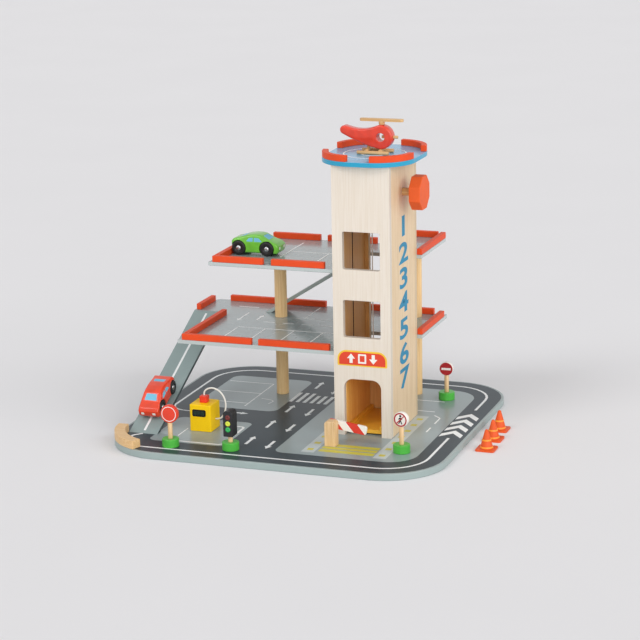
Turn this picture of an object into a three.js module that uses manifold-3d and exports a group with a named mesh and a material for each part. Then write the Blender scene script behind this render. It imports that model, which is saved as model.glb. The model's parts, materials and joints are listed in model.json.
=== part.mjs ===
// Toy parking garage with a hand-cranked lift, made of painted plywood, beech and dowels.
// Millimetres, +Z up, +Y towards the back. The origin is the centre of the base board's underside.
import * as THREE from 'three';
import { mergeVertices } from 'three/addons/utils/BufferGeometryUtils.js';
import Module from 'manifold-3d';

const wasm = await Module();
wasm.setup();

// General fits
const glueGap = 0.1;
const seatGap = 0.3;
const turningClearance = 0.3;
const cutOverrun = 2;
const plainSides = 24;
const smallSides = 12;
const cornerSteps = 3;
const arcSteps = 10;

// Base board
const boardWidth = 446;
const boardDepth = 424;
const boardThickness = 9;
const boardCornerRadius = 78;

// Curved stop at the foot of the lower ramp
const stopWidth = 14.5;
const stopHeight = 11;
const stopStartAngle = 183;
const stopEndAngle = 250;

// Lift tower, placed from the board's front and right edges
const frontYardDepth = 141;
const towerRightYard = 92;
const towerWidth = 77;
const towerDepth = 114;
const towerHeight = 354;
const panelThickness = 8;
const windowWidth = 50;
const windowHeight = 49;
const windowRadius = 2.5;
const lowerWindowSill = 131;
const upperWindowSill = 220;
const doorHeight = 76;
const doorRadius = 12;
const exitSill = 98;
const exitHeight = 184;

// Helipad
const helipadWidth = 122;
const helipadDepth = 144;
const helipadCornerRadius = 50;
const helipadSetback = 4;
const helipadThickness = 6;
const curbHeight = 8;
const curbWidth = 7.5;
const curbSpanAngle = 80;

// Decks
const deckThickness = 5;
const lowerDeckTop = 110;
const upperDeckTop = 218;
const deckSetback = 4;
const deckPastTower = 7;
const deckBehindTower = 116;
const lowerDeckReach = 220;
const upperDeckReach = 173;
const lowerLandingDepth = 69;
const upperStepDepth = 59;
const upperStepShift = 11;
const deckCornerRadius = 3;
const landingChamfer = 12;

// Ramps
const laneWidth = 40;
const lowerLaneGap = 2;
const upperLaneGap = 3;
const rampThickness = 4.5;
const lowerRampRun = 229;
const upperRampRun = 172;

// Posts
const postRadius = 8.5;
const leftPostReach = 40.5;
const leftPostInset = 69.5;
const rightPostReach = 38;
const rightPostInset = 21;

// Guard rails
const railWidth = 7;
const railHeight = 8.2;
const sideRailInset = 6;
const landingRailInset = 2;

// Winch
const winchDrop = 41;
const shaftRadius = 5;
const shaftSocketDepth = 5;
const drumRadius = 10;
const drumLength = 14;
const flangeRadius = 14;
const flangeThickness = 2.5;
const knobAcross = 43;
const knobLength = 15;
const knobStandOff = 14;
const knobSocketDepth = 10;
const knobSides = 8;

// Lift cabin
const cabinSideClearance = 0.8;
const cabinEndClearance = 1.5;
const cabinFloorRise = 2;
const cabinFloorThickness = 5;
const cabinWall = 5;
const cabinRoof = 4;
const cabinHeight = 77;
const kerbWidth = 5.5;
const kerbHeight = 5;
const grooveWidth = 3.4;
const grooveDepth = 3;
const runnerWidth = 2.6;
const runnerReach = 2.6;
const cordRadius = 0.75;
const cordSides = 8;

// Petrol pump, placed from the board's left and front edges
const pumpLeftYard = 104.7;
const pumpFrontYard = 117;
const pumpWidth = 30;
const pumpDepth = 32;
const pumpHeight = 36;
const pumpRadius = 2;
const pumpCapWidth = 10.4;
const pumpCapHeight = 9;
const pumpCapRadius = 1.5;
const hoseRadius = 1.1;
const hoseSteps = 28;
const hosePoints = [
  [0, 0, 45.3], [0, 0, 48.2], [1.5, 0, 51.6], [5.7, 0, 54.6], [11.9, 0, 55.9], [18.9, 0, 54],
  [24.7, 0, 49.4], [28.5, 0, 43], [30.1, 0, 35.6], [29.4, 0, 28], [26.9, 0, 21.2],
  [22.9, 0, 16.4], [18, 0, 14.6], [15.3, 0, 14.5],
];

// Road signs and traffic light, placed from the board's nearest edges
const footRadius = 11;
const footHeight = 11;
const footSocketDepth = 9;
const stickRadius = 3;
const signThickness = 6.5;
const signCentreHeight = 43.5;
const stopSignLeftYard = 92;
const stopSignFrontYard = 33;
const stopSignRadius = 11.8;
const stopSignAngle = 0;
const noEntryRightYard = 75;
const noEntryBackYard = 89;
const noEntryRadius = 9.4;
const noEntryAngle = 4;
const noWalkRightYard = 63;
const noWalkFrontYard = 92;
const noWalkRadius = 9.8;
const noWalkAngle = -10;
const lightLeftYard = 171.5;
const lightFrontYard = 41;
const lightWidth = 13;
const lightDepth = 16;
const lightBottom = 19;
const lightTop = 53;
const lightShoulder = 5;

// Barrier, placed from the tower's front left corner
const barrierShift = 11.5;
const barrierYard = 53;
const barrierPostWidth = 15;
const barrierPostDepth = 13;
const barrierPostHeight = 33;
const barrierPostRadius = 4;
const pivotHeight = 26.5;
const pivotRadius = 2;
const boomLength = 45;
const boomTail = 7;
const boomHeight = 11.5;
const boomThickness = 4;
const boomRadius = 3;
const boomDipAngle = 8;

// Traffic cones
const coneHeight = 27;
const coneBase = 25;
const coneBaseThickness = 2.5;
const coneBaseRadius = 3;
const coneFootRadius = 8.6;
const coneTipRadius = 2.2;
const coneOffsetX = 23;
const coneStepX = 3;
const coneFirstBackYard = 178;
const coneStepY = 43;
const coneCount = 3;

// Toy cars
const carLength = 66;
const carBodyWidth = 29;
const carBodyHeight = 26;
const carGroundClearance = 3.5;
const carEdge = 2.5;
const wheelRadius = 9.5;
const wheelWidth = 6.5;
const wheelBase = 39.5;
const rearOverhang = 10;
const axleRadius = 1.3;
const wheelWellGap = 1;
const carTrack = 30;
const hubRadius = 3.4;
const hubReach = 0.6;
const greenCarInset = 43.5;
const greenCarShift = 9.5;
const redCarRunShare = 0.245;

// Helicopter
const helicopterWidth = 15;
const helicopterLength = 70;
const cockpitRadius = 15.5;
const helicopterEdge = 2.5;
const cockpitHoleRadius = 5.5;
const tailRadius = 5.5;
const tailLift = 8;
const skidRadius = 2.4;
const skidLength = 42;
const skidSpread = 22;
const skidPegRadius = 2;
const skidPegSpread = 18;
const bellyHeight = 6.2;
const nosePinRadius = 2;
const nosePinReach = 6;
const mastRadius = 1.6;
const mastSocketDepth = 7;
const hubBlockRadius = 4;
const hubBlockHeight = 4;
const rotorLength = 58;
const rotorWidth = 8;
const rotorThickness = 3.4;

// Places worked out from the sizes above
const boardTop = boardThickness;
const boardRight = boardWidth / 2;
const boardLeft = -boardRight;
const boardBack = boardDepth / 2;
const boardFront = -boardBack;
const towerRight = boardRight - towerRightYard;
const towerLeft = towerRight - towerWidth;
const towerX = towerRight - towerWidth / 2;
const towerFront = boardFront + frontYardDepth;
const towerBack = towerFront + towerDepth;
const towerY = towerFront + towerDepth / 2;
const helipadY = towerY + helipadSetback;
const deckFront = towerFront + deckSetback;
const deckRight = towerRight + deckPastTower;
const deckBack = towerBack + deckBehindTower;
const lowerDeckLeft = towerLeft - lowerDeckReach;
const upperDeckLeft = towerLeft - upperDeckReach;
const upperLandingLeft = towerLeft + upperStepShift;
const lowerLandingFront = deckBack - lowerLandingDepth;
const upperDeckStep = deckBack - upperStepDepth;
const helipadBottom = boardTop + towerHeight;
const helipadTop = helipadBottom + helipadThickness;
const lowerLevel = boardTop + lowerDeckTop;
const upperLevel = boardTop + upperDeckTop;
const winchZ = helipadBottom - winchDrop;
const landingLeft = lowerDeckLeft - lowerLaneGap - laneWidth;
const upperLaneFront = upperDeckStep + upperLaneGap;
const leftPostX = upperDeckLeft + leftPostReach;
const leftPostY = deckBack - leftPostInset;
const rightPostX = deckRight - rightPostReach;
const rightPostY = deckBack - rightPostInset;
const pumpX = boardLeft + pumpLeftYard;
const pumpY = boardFront + pumpFrontYard;
const barrierX = towerLeft + barrierShift;
const barrierFront = towerFront - barrierYard;

// Solids: joining and cutting closed meshes

function toSolid(geometry) {
  const bare = geometry.clone();
  bare.deleteAttribute('normal');
  bare.deleteAttribute('uv');
  const merged = mergeVertices(bare, 1e-4);
  const corners = merged.index.array;
  const kept = [];
  for (let i = 0; i < corners.length; i += 3) {
    const [a, b, c] = corners.slice(i, i + 3);
    if (a !== b && b !== c && c !== a) {
      kept.push(a, b, c);
    }
  }
  return new wasm.Manifold(new wasm.Mesh({
    numProp: 3,
    vertProperties: new Float32Array(merged.attributes.position.array),
    triVerts: new Uint32Array(kept),
  }));
}

function toGeometry(solid) {
  const mesh = solid.getMesh();
  const geometry = new THREE.BufferGeometry();
  geometry.setAttribute('position', new THREE.BufferAttribute(new Float32Array(mesh.vertProperties), 3));
  geometry.setIndex(new THREE.BufferAttribute(new Uint32Array(mesh.triVerts), 1));
  geometry.computeVertexNormals();
  return geometry;
}

function join(first, ...others) {
  return toGeometry(others.reduce((sum, other) => sum.add(toSolid(other)), toSolid(first)));
}

function cut(first, ...tools) {
  return toGeometry(tools.reduce((rest, tool) => rest.subtract(toSolid(tool)), toSolid(first)));
}

// Shapes

function block(low, high) {
  const size = high.map((value, i) => value - low[i]);
  const middle = high.map((value, i) => (value + low[i]) / 2);
  return new THREE.BoxGeometry(...size).translate(...middle);
}

function roundedOutline(left, bottom, right, top, radius, topRadius = radius) {
  const outline = new THREE.Shape();
  const quarter = Math.PI / 2;
  outline.moveTo(left + radius, bottom);
  outline.lineTo(right - radius, bottom);
  if (radius > 0) {
    outline.absarc(right - radius, bottom + radius, radius, -quarter, 0, false);
  }
  outline.lineTo(right, top - topRadius);
  outline.absarc(right - topRadius, top - topRadius, topRadius, 0, quarter, false);
  outline.lineTo(left + topRadius, top);
  outline.absarc(left + topRadius, top - topRadius, topRadius, quarter, 2 * quarter, false);
  outline.lineTo(left, bottom + radius);
  if (radius > 0) {
    outline.absarc(left + radius, bottom + radius, radius, 2 * quarter, 3 * quarter, false);
  }
  return outline;
}

function polygon(points) {
  return new THREE.Shape(points.map(([x, y]) => new THREE.Vector2(x, y)));
}

function slab(outline, bottom, thickness, curveSegments = cornerSteps) {
  const options = { depth: thickness, bevelEnabled: false, curveSegments };
  return new THREE.ExtrudeGeometry(outline, options).translate(0, 0, bottom);
}

// An outline drawn in X and Z, running along Y from front to back.
function alongY(outline, front, depth) {
  return slab(outline, 0, depth).rotateX(Math.PI / 2).translate(0, front + depth, 0);
}

// An outline drawn in Y and Z, running along X from left to right.
function alongX(outline, left, length) {
  const turn = new THREE.Matrix4().makeBasis(
    new THREE.Vector3(0, 1, 0),
    new THREE.Vector3(0, 0, 1),
    new THREE.Vector3(1, 0, 0),
  );
  return slab(outline, 0, length).applyMatrix4(turn).translate(left, 0, 0);
}

function rodZ(radius, bottom, height, x = 0, y = 0, sides = plainSides) {
  const rod = new THREE.CylinderGeometry(radius, radius, height, sides).rotateX(Math.PI / 2);
  return rod.translate(x, y, bottom + height / 2);
}

function rodX(radius, left, length, y, z, sides = plainSides) {
  const rod = new THREE.CylinderGeometry(radius, radius, length, sides).rotateZ(Math.PI / 2);
  return rod.translate(left + length / 2, y, z);
}

function rodY(radius, front, length, x, z, sides = plainSides) {
  return new THREE.CylinderGeometry(radius, radius, length, sides).translate(x, front + length / 2, z);
}

function arcBand(innerRadius, outerRadius, startDegrees, endDegrees) {
  const start = THREE.MathUtils.degToRad(startDegrees);
  const end = THREE.MathUtils.degToRad(endDegrees);
  const band = new THREE.Shape();
  band.absarc(0, 0, outerRadius, start, end, false);
  band.absarc(0, 0, innerRadius, end, start, true);
  band.closePath();
  return band;
}

// Finishes: colour, roughness and metalness

const finishes = {
  boardPaint: [0x9aa7a6, 0.5, 0],
  deckPaint: [0x8f9b9b, 0.45, 0],
  birchPlywood: [0xe3d3b8, 0.6, 0],
  beech: [0xd4a86e, 0.55, 0],
  redPaint: [0xe2512f, 0.45, 0],
  orangePaint: [0xee6430, 0.45, 0],
  bluePaint: [0x3fa2c8, 0.45, 0],
  greenPaint: [0x4bab3f, 0.45, 0],
  yellowPaint: [0xf5c400, 0.45, 0],
  blackPaint: [0x24262a, 0.5, 0],
  whitePaint: [0xf0efec, 0.5, 0],
  carGreen: [0x5fb532, 0.35, 0],
  carRed: [0xd93a26, 0.35, 0],
  whiteCord: [0xf2f1ee, 0.7, 0],
};

const garage = new THREE.Group();

function addPiece(name, geometry, finish, parent = garage) {
  const [color, roughness, metalness] = finishes[finish];
  const piece = new THREE.Mesh(geometry, new THREE.MeshStandardMaterial({ color, roughness, metalness }));
  piece.name = name;
  parent.add(piece);
}

// Base board and the curved stop on its front left corner

function makeBoard() {
  const outline = roundedOutline(boardLeft, boardFront, boardRight, boardBack, boardCornerRadius);
  addPiece('base_board', slab(outline, 0, boardThickness, arcSteps), 'boardPaint');
  const band = arcBand(boardCornerRadius - stopWidth, boardCornerRadius, stopStartAngle, stopEndAngle);
  const stop = slab(band, boardTop, stopHeight, arcSteps);
  stop.translate(boardLeft + boardCornerRadius, boardFront + boardCornerRadius, 0);
  addPiece('ramp_stop', stop, 'beech');
}

// Decks: painted plywood boards that wrap the left and back of the tower

function postHole(x, y, level) {
  const length = deckThickness + 2 * cutOverrun;
  return rodZ(postRadius + turningClearance, level - deckThickness - cutOverrun, length, x, y);
}

function makeLowerDeck() {
  const outline = polygon([
    [lowerDeckLeft, deckFront],
    [towerLeft - seatGap, deckFront],
    [towerLeft - seatGap, towerBack + seatGap],
    [deckRight, towerBack + seatGap],
    [deckRight, deckBack],
    [landingLeft + landingChamfer, deckBack],
    [landingLeft, deckBack - landingChamfer],
    [landingLeft, lowerLandingFront],
    [lowerDeckLeft, lowerLandingFront],
  ]);
  const deck = cut(
    slab(outline, lowerLevel - deckThickness, deckThickness),
    postHole(leftPostX, leftPostY, lowerLevel),
    postHole(rightPostX, rightPostY, lowerLevel),
  );
  addPiece('lower_deck', deck, 'deckPaint');
}

function makeUpperDeck() {
  const outline = polygon([
    [upperDeckLeft, deckFront],
    [towerLeft - seatGap, deckFront],
    [towerLeft - seatGap, towerBack + seatGap],
    [deckRight, towerBack + seatGap],
    [deckRight, deckBack - deckCornerRadius],
    [deckRight - deckCornerRadius, deckBack],
    [upperLandingLeft, deckBack],
    [upperLandingLeft, upperDeckStep],
    [upperDeckLeft, upperDeckStep],
  ]);
  addPiece('upper_deck', slab(outline, upperLevel - deckThickness, deckThickness), 'deckPaint');
}

// Ramps: thin boards with bevelled ends

function rampProfile(foot, run, bottom, top) {
  const slope = (top - bottom) / run;
  const dropAtTop = rampThickness * Math.hypot(1, slope);
  const runAtFoot = dropAtTop / slope;
  const reach = Math.abs(run) - seatGap;
  const direction = Math.sign(run);
  return polygon([
    [foot, bottom],
    [foot + direction * Math.abs(runAtFoot), bottom],
    [foot + direction * reach, top - dropAtTop],
    [foot + direction * reach, top],
  ]);
}

function makeRamps() {
  const lowerFoot = lowerLandingFront - lowerRampRun;
  const lower = alongX(rampProfile(lowerFoot, lowerRampRun, boardTop, lowerLevel), landingLeft, laneWidth);
  addPiece('lower_ramp', lower, 'deckPaint');
  const upperFoot = upperLandingLeft - upperRampRun;
  const upperProfile = rampProfile(upperFoot, upperRampRun, lowerLevel, upperLevel);
  const upper = alongY(upperProfile, upperLaneFront, laneWidth);
  addPiece('upper_ramp', upper, 'deckPaint');
}

// Posts: beech dowels that stand on the board, pass the lower deck and carry the upper one

function makePosts() {
  const height = upperLevel - deckThickness - boardTop;
  addPiece('left_post', rodZ(postRadius, boardTop, height, leftPostX, leftPostY), 'beech');
  addPiece('right_post', rodZ(postRadius, boardTop, height, rightPostX, rightPostY), 'beech');
}

// Guard rails: square painted battens glued along the deck edges.
// A rail lies on an edge between two shares of that edge's length.

function railAlongX(name, edge, shares, front, level) {
  const [start, end] = shares.map((share) => THREE.MathUtils.lerp(edge[0], edge[1], share));
  addPiece(name, block([start, front, level], [end, front + railWidth, level + railHeight]), 'redPaint');
}

function railAlongY(name, edge, shares, left, level) {
  const [start, end] = shares.map((share) => THREE.MathUtils.lerp(edge[0], edge[1], share));
  addPiece(name, block([left, start, level], [left + railWidth, end, level + railHeight]), 'redPaint');
}

function makeLowerRails() {
  const frontEdge = [lowerDeckLeft, towerLeft];
  const leftEdge = [deckFront + railWidth, lowerLandingFront];
  const landingEdge = [lowerLandingFront, deckBack - landingChamfer];
  const backEdge = [landingLeft + landingChamfer, deckRight];
  const rightEdge = [towerBack, deckBack];
  const backRow = deckBack - railWidth;
  railAlongX('lower_rail_front_left', frontEdge, [0.027, 0.473], deckFront, lowerLevel);
  railAlongX('lower_rail_front_right', frontEdge, [0.518, 0.964], deckFront, lowerLevel);
  railAlongY('lower_rail_left', leftEdge, [0.014, 0.9], lowerDeckLeft + sideRailInset, lowerLevel);
  railAlongY('lower_rail_landing', landingEdge, [0.05, 1], landingLeft + landingRailInset, lowerLevel);
  railAlongX('lower_rail_back_left', backEdge, [0.051, 0.479], backRow, lowerLevel);
  railAlongX('lower_rail_back_right', backEdge, [0.656, 0.949], backRow, lowerLevel);
  railAlongY('lower_rail_right', rightEdge, [0.006, 0.9], deckRight - railWidth, lowerLevel);
}

function makeUpperRails() {
  const frontEdge = [upperDeckLeft, towerLeft];
  const leftEdge = [deckFront + railWidth, upperDeckStep];
  const stepEdge = [upperDeckLeft, upperLandingLeft];
  const backEdge = [upperLandingLeft, deckRight];
  const rightEdge = [towerBack, deckBack];
  const stepRow = upperDeckStep - railWidth;
  railAlongX('upper_rail_front_left', frontEdge, [0.034, 0.439], deckFront, upperLevel);
  railAlongX('upper_rail_front_right', frontEdge, [0.506, 0.925], deckFront, upperLevel);
  railAlongY('upper_rail_left', leftEdge, [0.013, 0.625], upperDeckLeft + sideRailInset, upperLevel);
  railAlongX('upper_rail_step_left', stepEdge, [0.163, 0.533], stepRow, upperLevel);
  railAlongX('upper_rail_step_right', stepEdge, [0.59, 0.97], stepRow, upperLevel);
  railAlongX('upper_rail_back', backEdge, [0.07, 0.85], deckBack - railWidth, upperLevel);
  railAlongY('upper_rail_right', rightEdge, [0.006, 0.97], deckRight - railWidth, upperLevel);
}

// Tower: four plywood panels. The front has a door and two windows, the back one tall exit.

function windowCutter(sill, height, front, bottomRadius = windowRadius, topRadius = windowRadius) {
  const outline = roundedOutline(
    towerX - windowWidth / 2, boardTop + sill, towerX + windowWidth / 2, boardTop + sill + height,
    bottomRadius, topRadius,
  );
  return alongY(outline, front - cutOverrun, panelThickness + 2 * cutOverrun);
}

function doorCutter() {
  return windowCutter(-cutOverrun, doorHeight + cutOverrun, towerFront, 0, doorRadius);
}

function makeFrontPanel() {
  const sheet = block(
    [towerLeft, towerFront, boardTop],
    [towerRight, towerFront + panelThickness, helipadBottom],
  );
  const panel = cut(
    sheet,
    doorCutter(),
    windowCutter(lowerWindowSill, windowHeight, towerFront),
    windowCutter(upperWindowSill, windowHeight, towerFront),
  );
  addPiece('tower_front_panel', panel, 'birchPlywood');
}

function makeRearPanel() {
  const front = towerBack - panelThickness;
  const sheet = block([towerLeft, front, boardTop], [towerRight, towerBack, helipadBottom]);
  addPiece('tower_rear_panel', cut(sheet, windowCutter(exitSill, exitHeight, front)), 'birchPlywood');
}

function sidePanel(left, innerFace, inward) {
  const sheet = block(
    [left, towerFront + panelThickness, boardTop],
    [left + panelThickness, towerBack - panelThickness, helipadBottom],
  );
  const grooveBack = innerFace - inward * grooveDepth;
  const grooveMouth = innerFace + inward * cutOverrun;
  const groove = block(
    [Math.min(grooveBack, grooveMouth), towerY - grooveWidth / 2, boardTop - cutOverrun],
    [Math.max(grooveBack, grooveMouth), towerY + grooveWidth / 2, winchZ - flangeRadius],
  );
  return cut(sheet, groove);
}

function makeSidePanels() {
  const leftInner = towerLeft + panelThickness;
  const rightInner = towerRight - panelThickness;
  const holeRadius = shaftRadius + turningClearance;
  const socket = rodX(
    holeRadius, leftInner - shaftSocketDepth, shaftSocketDepth + cutOverrun, towerY, winchZ,
  );
  const through = rodX(
    holeRadius, rightInner - cutOverrun, panelThickness + 2 * cutOverrun, towerY, winchZ,
  );
  addPiece('tower_left_panel', cut(sidePanel(towerLeft, leftInner, 1), socket), 'birchPlywood');
  addPiece('tower_right_panel', cut(sidePanel(rightInner, rightInner, -1), through), 'birchPlywood');
}

// Helipad: a board with well rounded corners on the tower, and a curved curb on each corner

function makeHelipad() {
  const left = towerX - helipadWidth / 2;
  const front = helipadY - helipadDepth / 2;
  const right = left + helipadWidth;
  const back = front + helipadDepth;
  const outline = roundedOutline(left, front, right, back, helipadCornerRadius);
  addPiece('helipad_board', slab(outline, helipadBottom, helipadThickness, arcSteps), 'bluePaint');
  const corners = [
    [right - helipadCornerRadius, back - helipadCornerRadius],
    [left + helipadCornerRadius, back - helipadCornerRadius],
    [left + helipadCornerRadius, front + helipadCornerRadius],
    [right - helipadCornerRadius, front + helipadCornerRadius],
  ];
  const quarterTurn = 90;
  corners.forEach(([x, y], i) => {
    const start = i * quarterTurn + (quarterTurn - curbSpanAngle) / 2;
    const rim = helipadCornerRadius - seatGap;
    const band = arcBand(rim - curbWidth, rim, start, start + curbSpanAngle);
    const curb = slab(band, helipadTop, curbHeight, arcSteps).translate(x, y, 0);
    addPiece(`helipad_curb_${i + 1}`, curb, 'redPaint');
  });
}

// Winch: a shaft with a cord drum, turned by an octagonal knob outside the right panel

function makeWinch() {
  const shaftLeft = towerLeft + panelThickness - shaftSocketDepth + seatGap;
  const shaftRight = towerRight + knobStandOff + knobSocketDepth - seatGap;
  const drumLeft = towerX - drumLength / 2;
  const shaft = join(
    rodX(shaftRadius, shaftLeft, shaftRight - shaftLeft, towerY, winchZ),
    rodX(drumRadius, drumLeft, drumLength, towerY, winchZ),
    rodX(flangeRadius, drumLeft - flangeThickness, flangeThickness, towerY, winchZ),
    rodX(flangeRadius, drumLeft + drumLength, flangeThickness, towerY, winchZ),
  );
  addPiece('winch_shaft', shaft, 'beech');
  const knobCorner = knobAcross / 2 / Math.cos(Math.PI / knobSides);
  const knobLeft = towerRight + knobStandOff;
  const blank = rodX(knobCorner, 0, knobLength, 0, 0, knobSides).rotateX(Math.PI / knobSides);
  const socket = rodX(shaftRadius + glueGap, -cutOverrun, knobSocketDepth + cutOverrun, 0, 0);
  addPiece('winch_knob', cut(blank, socket).translate(knobLeft, towerY, winchZ), 'orangePaint');
}

// Lift cabin: floor with raised kerbs between two walls and a roof, open at front and back

function makeCabin() {
  const left = towerLeft + panelThickness + cabinSideClearance;
  const right = towerRight - panelThickness - cabinSideClearance;
  const front = towerFront + panelThickness + cabinEndClearance;
  const depth = towerDepth - 2 * (panelThickness + cabinEndClearance);
  const bottom = boardTop + cabinFloorRise;
  const top = bottom + cabinHeight;
  const floorTop = bottom + cabinFloorThickness;
  const innerLeft = left + cabinWall;
  const innerRight = right - cabinWall;
  const shellOutline = polygon([
    [left, bottom], [innerLeft, bottom], [innerLeft, top - cabinRoof], [innerRight, top - cabinRoof],
    [innerRight, bottom], [right, bottom], [right, top], [left, top],
  ]);
  const runnerFront = towerY - runnerWidth / 2;
  const shell = join(
    alongY(shellOutline, front, depth),
    block([left - runnerReach, runnerFront, bottom], [innerLeft, runnerFront + runnerWidth, top]),
    block([innerRight, runnerFront, bottom], [right + runnerReach, runnerFront + runnerWidth, top]),
  );
  addPiece('cabin_shell', shell, 'beech');
  const floorLeft = innerLeft + glueGap;
  const floorRight = innerRight - glueGap;
  const kerbTop = floorTop + kerbHeight;
  const floorOutline = polygon([
    [floorLeft, bottom], [floorRight, bottom], [floorRight, kerbTop], [floorRight - kerbWidth, kerbTop],
    [floorRight - kerbWidth, floorTop], [floorLeft + kerbWidth, floorTop],
    [floorLeft + kerbWidth, kerbTop], [floorLeft, kerbTop],
  ]);
  addPiece('cabin_floor', alongY(floorOutline, front, depth), 'yellowPaint');
  const cordY = towerY - drumRadius - seatGap - cordRadius;
  const cordBottom = top + seatGap;
  const cord = rodZ(cordRadius, cordBottom, winchZ - cordBottom, towerX, cordY, cordSides);
  addPiece('lift_cord', cord, 'whiteCord');
}

// Petrol pump with its cap and hose

function makePump() {
  const outline = roundedOutline(
    pumpX - pumpWidth / 2, pumpY - pumpDepth / 2, pumpX + pumpWidth / 2, pumpY + pumpDepth / 2, pumpRadius,
  );
  addPiece('pump_body', slab(outline, boardTop, pumpHeight), 'yellowPaint');
  const half = pumpCapWidth / 2;
  const cap = roundedOutline(pumpX - half, pumpY - half, pumpX + half, pumpY + half, pumpCapRadius);
  addPiece('pump_cap', slab(cap, boardTop + pumpHeight, pumpCapHeight), 'redPaint');
  const route = new THREE.CatmullRomCurve3(hosePoints.map(
    ([x, y, z]) => new THREE.Vector3(pumpX + x, pumpY + y, boardTop + z),
  ));
  const section = new THREE.Shape();
  section.absarc(0, 0, hoseRadius, 0, 2 * Math.PI, false);
  const hose = new THREE.ExtrudeGeometry(section, {
    steps: hoseSteps,
    extrudePath: route,
    bevelEnabled: false,
    curveSegments: cordSides / 2,
  });
  addPiece('pump_hose', toGeometry(toSolid(hose)), 'whiteCord');
}

// Road signs: a painted foot, and a stick with a thick round board on it

function foot(x, y) {
  const socket = rodZ(
    stickRadius + glueGap, boardTop + footHeight - footSocketDepth, footSocketDepth + cutOverrun,
    x, y, smallSides,
  );
  return cut(rodZ(footRadius, boardTop, footHeight, x, y), socket);
}

function stick(x, y, top) {
  const bottom = boardTop + footHeight - footSocketDepth + glueGap;
  return rodZ(stickRadius, bottom, top - bottom, x, y, smallSides);
}

function makeSign(name, x, y, radius, angle) {
  addPiece(`${name}_foot`, foot(x, y), 'greenPaint');
  const centre = boardTop + signCentreHeight;
  const disc = rodY(radius, -signThickness / 2, signThickness, 0, 0);
  disc.rotateZ(THREE.MathUtils.degToRad(angle)).translate(x, y, centre);
  addPiece(`${name}_board`, join(disc, stick(x, y, centre)), 'redPaint');
}

function makeSigns() {
  const stopX = boardLeft + stopSignLeftYard;
  makeSign('stop_sign', stopX, boardFront + stopSignFrontYard, stopSignRadius, stopSignAngle);
  const entryX = boardRight - noEntryRightYard;
  makeSign('no_entry_sign', entryX, boardBack - noEntryBackYard, noEntryRadius, noEntryAngle);
  const walkX = boardRight - noWalkRightYard;
  makeSign('no_walking_sign', walkX, boardFront + noWalkFrontYard, noWalkRadius, noWalkAngle);
}

function makeTrafficLight() {
  const lightX = boardLeft + lightLeftYard;
  const lightY = boardFront + lightFrontYard;
  addPiece('traffic_light_foot', foot(lightX, lightY), 'greenPaint');
  const housing = roundedOutline(
    lightX - lightWidth / 2, boardTop + lightBottom, lightX + lightWidth / 2, boardTop + lightTop,
    pumpCapRadius, lightShoulder,
  );
  const head = join(
    alongY(housing, lightY - lightDepth / 2, lightDepth),
    stick(lightX, lightY, boardTop + lightBottom + lightShoulder),
  );
  addPiece('traffic_light_head', head, 'blackPaint');
}

// Barrier: a beech post with a pin at its back, and a boom that swings on the pin

function makeBarrier() {
  const left = barrierX - barrierPostWidth / 2;
  const back = barrierFront + barrierPostDepth;
  const outline = roundedOutline(
    left, boardTop, left + barrierPostWidth, boardTop + barrierPostHeight, 0, barrierPostRadius,
  );
  const pivotZ = boardTop + pivotHeight;
  const pinLength = panelThickness + boomThickness;
  const post = join(
    alongY(outline, barrierFront, barrierPostDepth),
    rodY(pivotRadius, back + seatGap + boomThickness - pinLength, pinLength, barrierX, pivotZ, smallSides),
  );
  addPiece('barrier_post', post, 'beech');
  const boomOutline = roundedOutline(-boomTail, -boomHeight / 2, boomLength, boomHeight / 2, boomRadius);
  const bore = rodY(
    pivotRadius + turningClearance, back - cutOverrun, boomThickness + 2 * cutOverrun, 0, 0, smallSides,
  );
  const boom = cut(alongY(boomOutline, back + seatGap, boomThickness), bore);
  boom.rotateY(THREE.MathUtils.degToRad(boomDipAngle)).translate(barrierX, 0, pivotZ);
  addPiece('barrier_boom', boom, 'whitePaint');
}

// Traffic cones: they stand on the floor beside the board

function makeCone(name, x, y) {
  const half = coneBase / 2;
  const plate = slab(roundedOutline(-half, -half, half, half, coneBaseRadius), 0, coneBaseThickness);
  const profile = [
    new THREE.Vector2(0, 0),
    new THREE.Vector2(coneFootRadius, 0),
    new THREE.Vector2(coneFootRadius, coneBaseThickness),
    new THREE.Vector2(coneTipRadius, coneHeight - coneTipRadius / 2),
    new THREE.Vector2(coneTipRadius / 2, coneHeight),
    new THREE.Vector2(0, coneHeight),
  ];
  const body = new THREE.LatheGeometry(profile, plainSides).rotateX(Math.PI / 2);
  addPiece(name, join(plate, body).translate(x, y, 0), 'orangePaint');
}

function makeCones() {
  for (let i = 0; i < coneCount; i += 1) {
    const x = boardRight + coneOffsetX + i * coneStepX;
    makeCone(`cone_${i + 1}`, x, boardBack - coneFirstBackYard - i * coneStepY);
  }
}

// Toy cars: a one-piece body on two turning axles. The nose points along the car's own +X,
// and the car's own origin lies on the ground halfway between the axles.

const carSideShares = [
  [0.02, 0], [0.98, 0], [1, 0.12], [1, 0.34], [0.96, 0.46], [0.76, 0.62], [0.56, 0.97], [0.5, 1],
  [0.36, 1], [0.28, 0.97], [0.12, 0.74], [0.02, 0.7], [0, 0.62], [0, 0.12],
];

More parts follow.
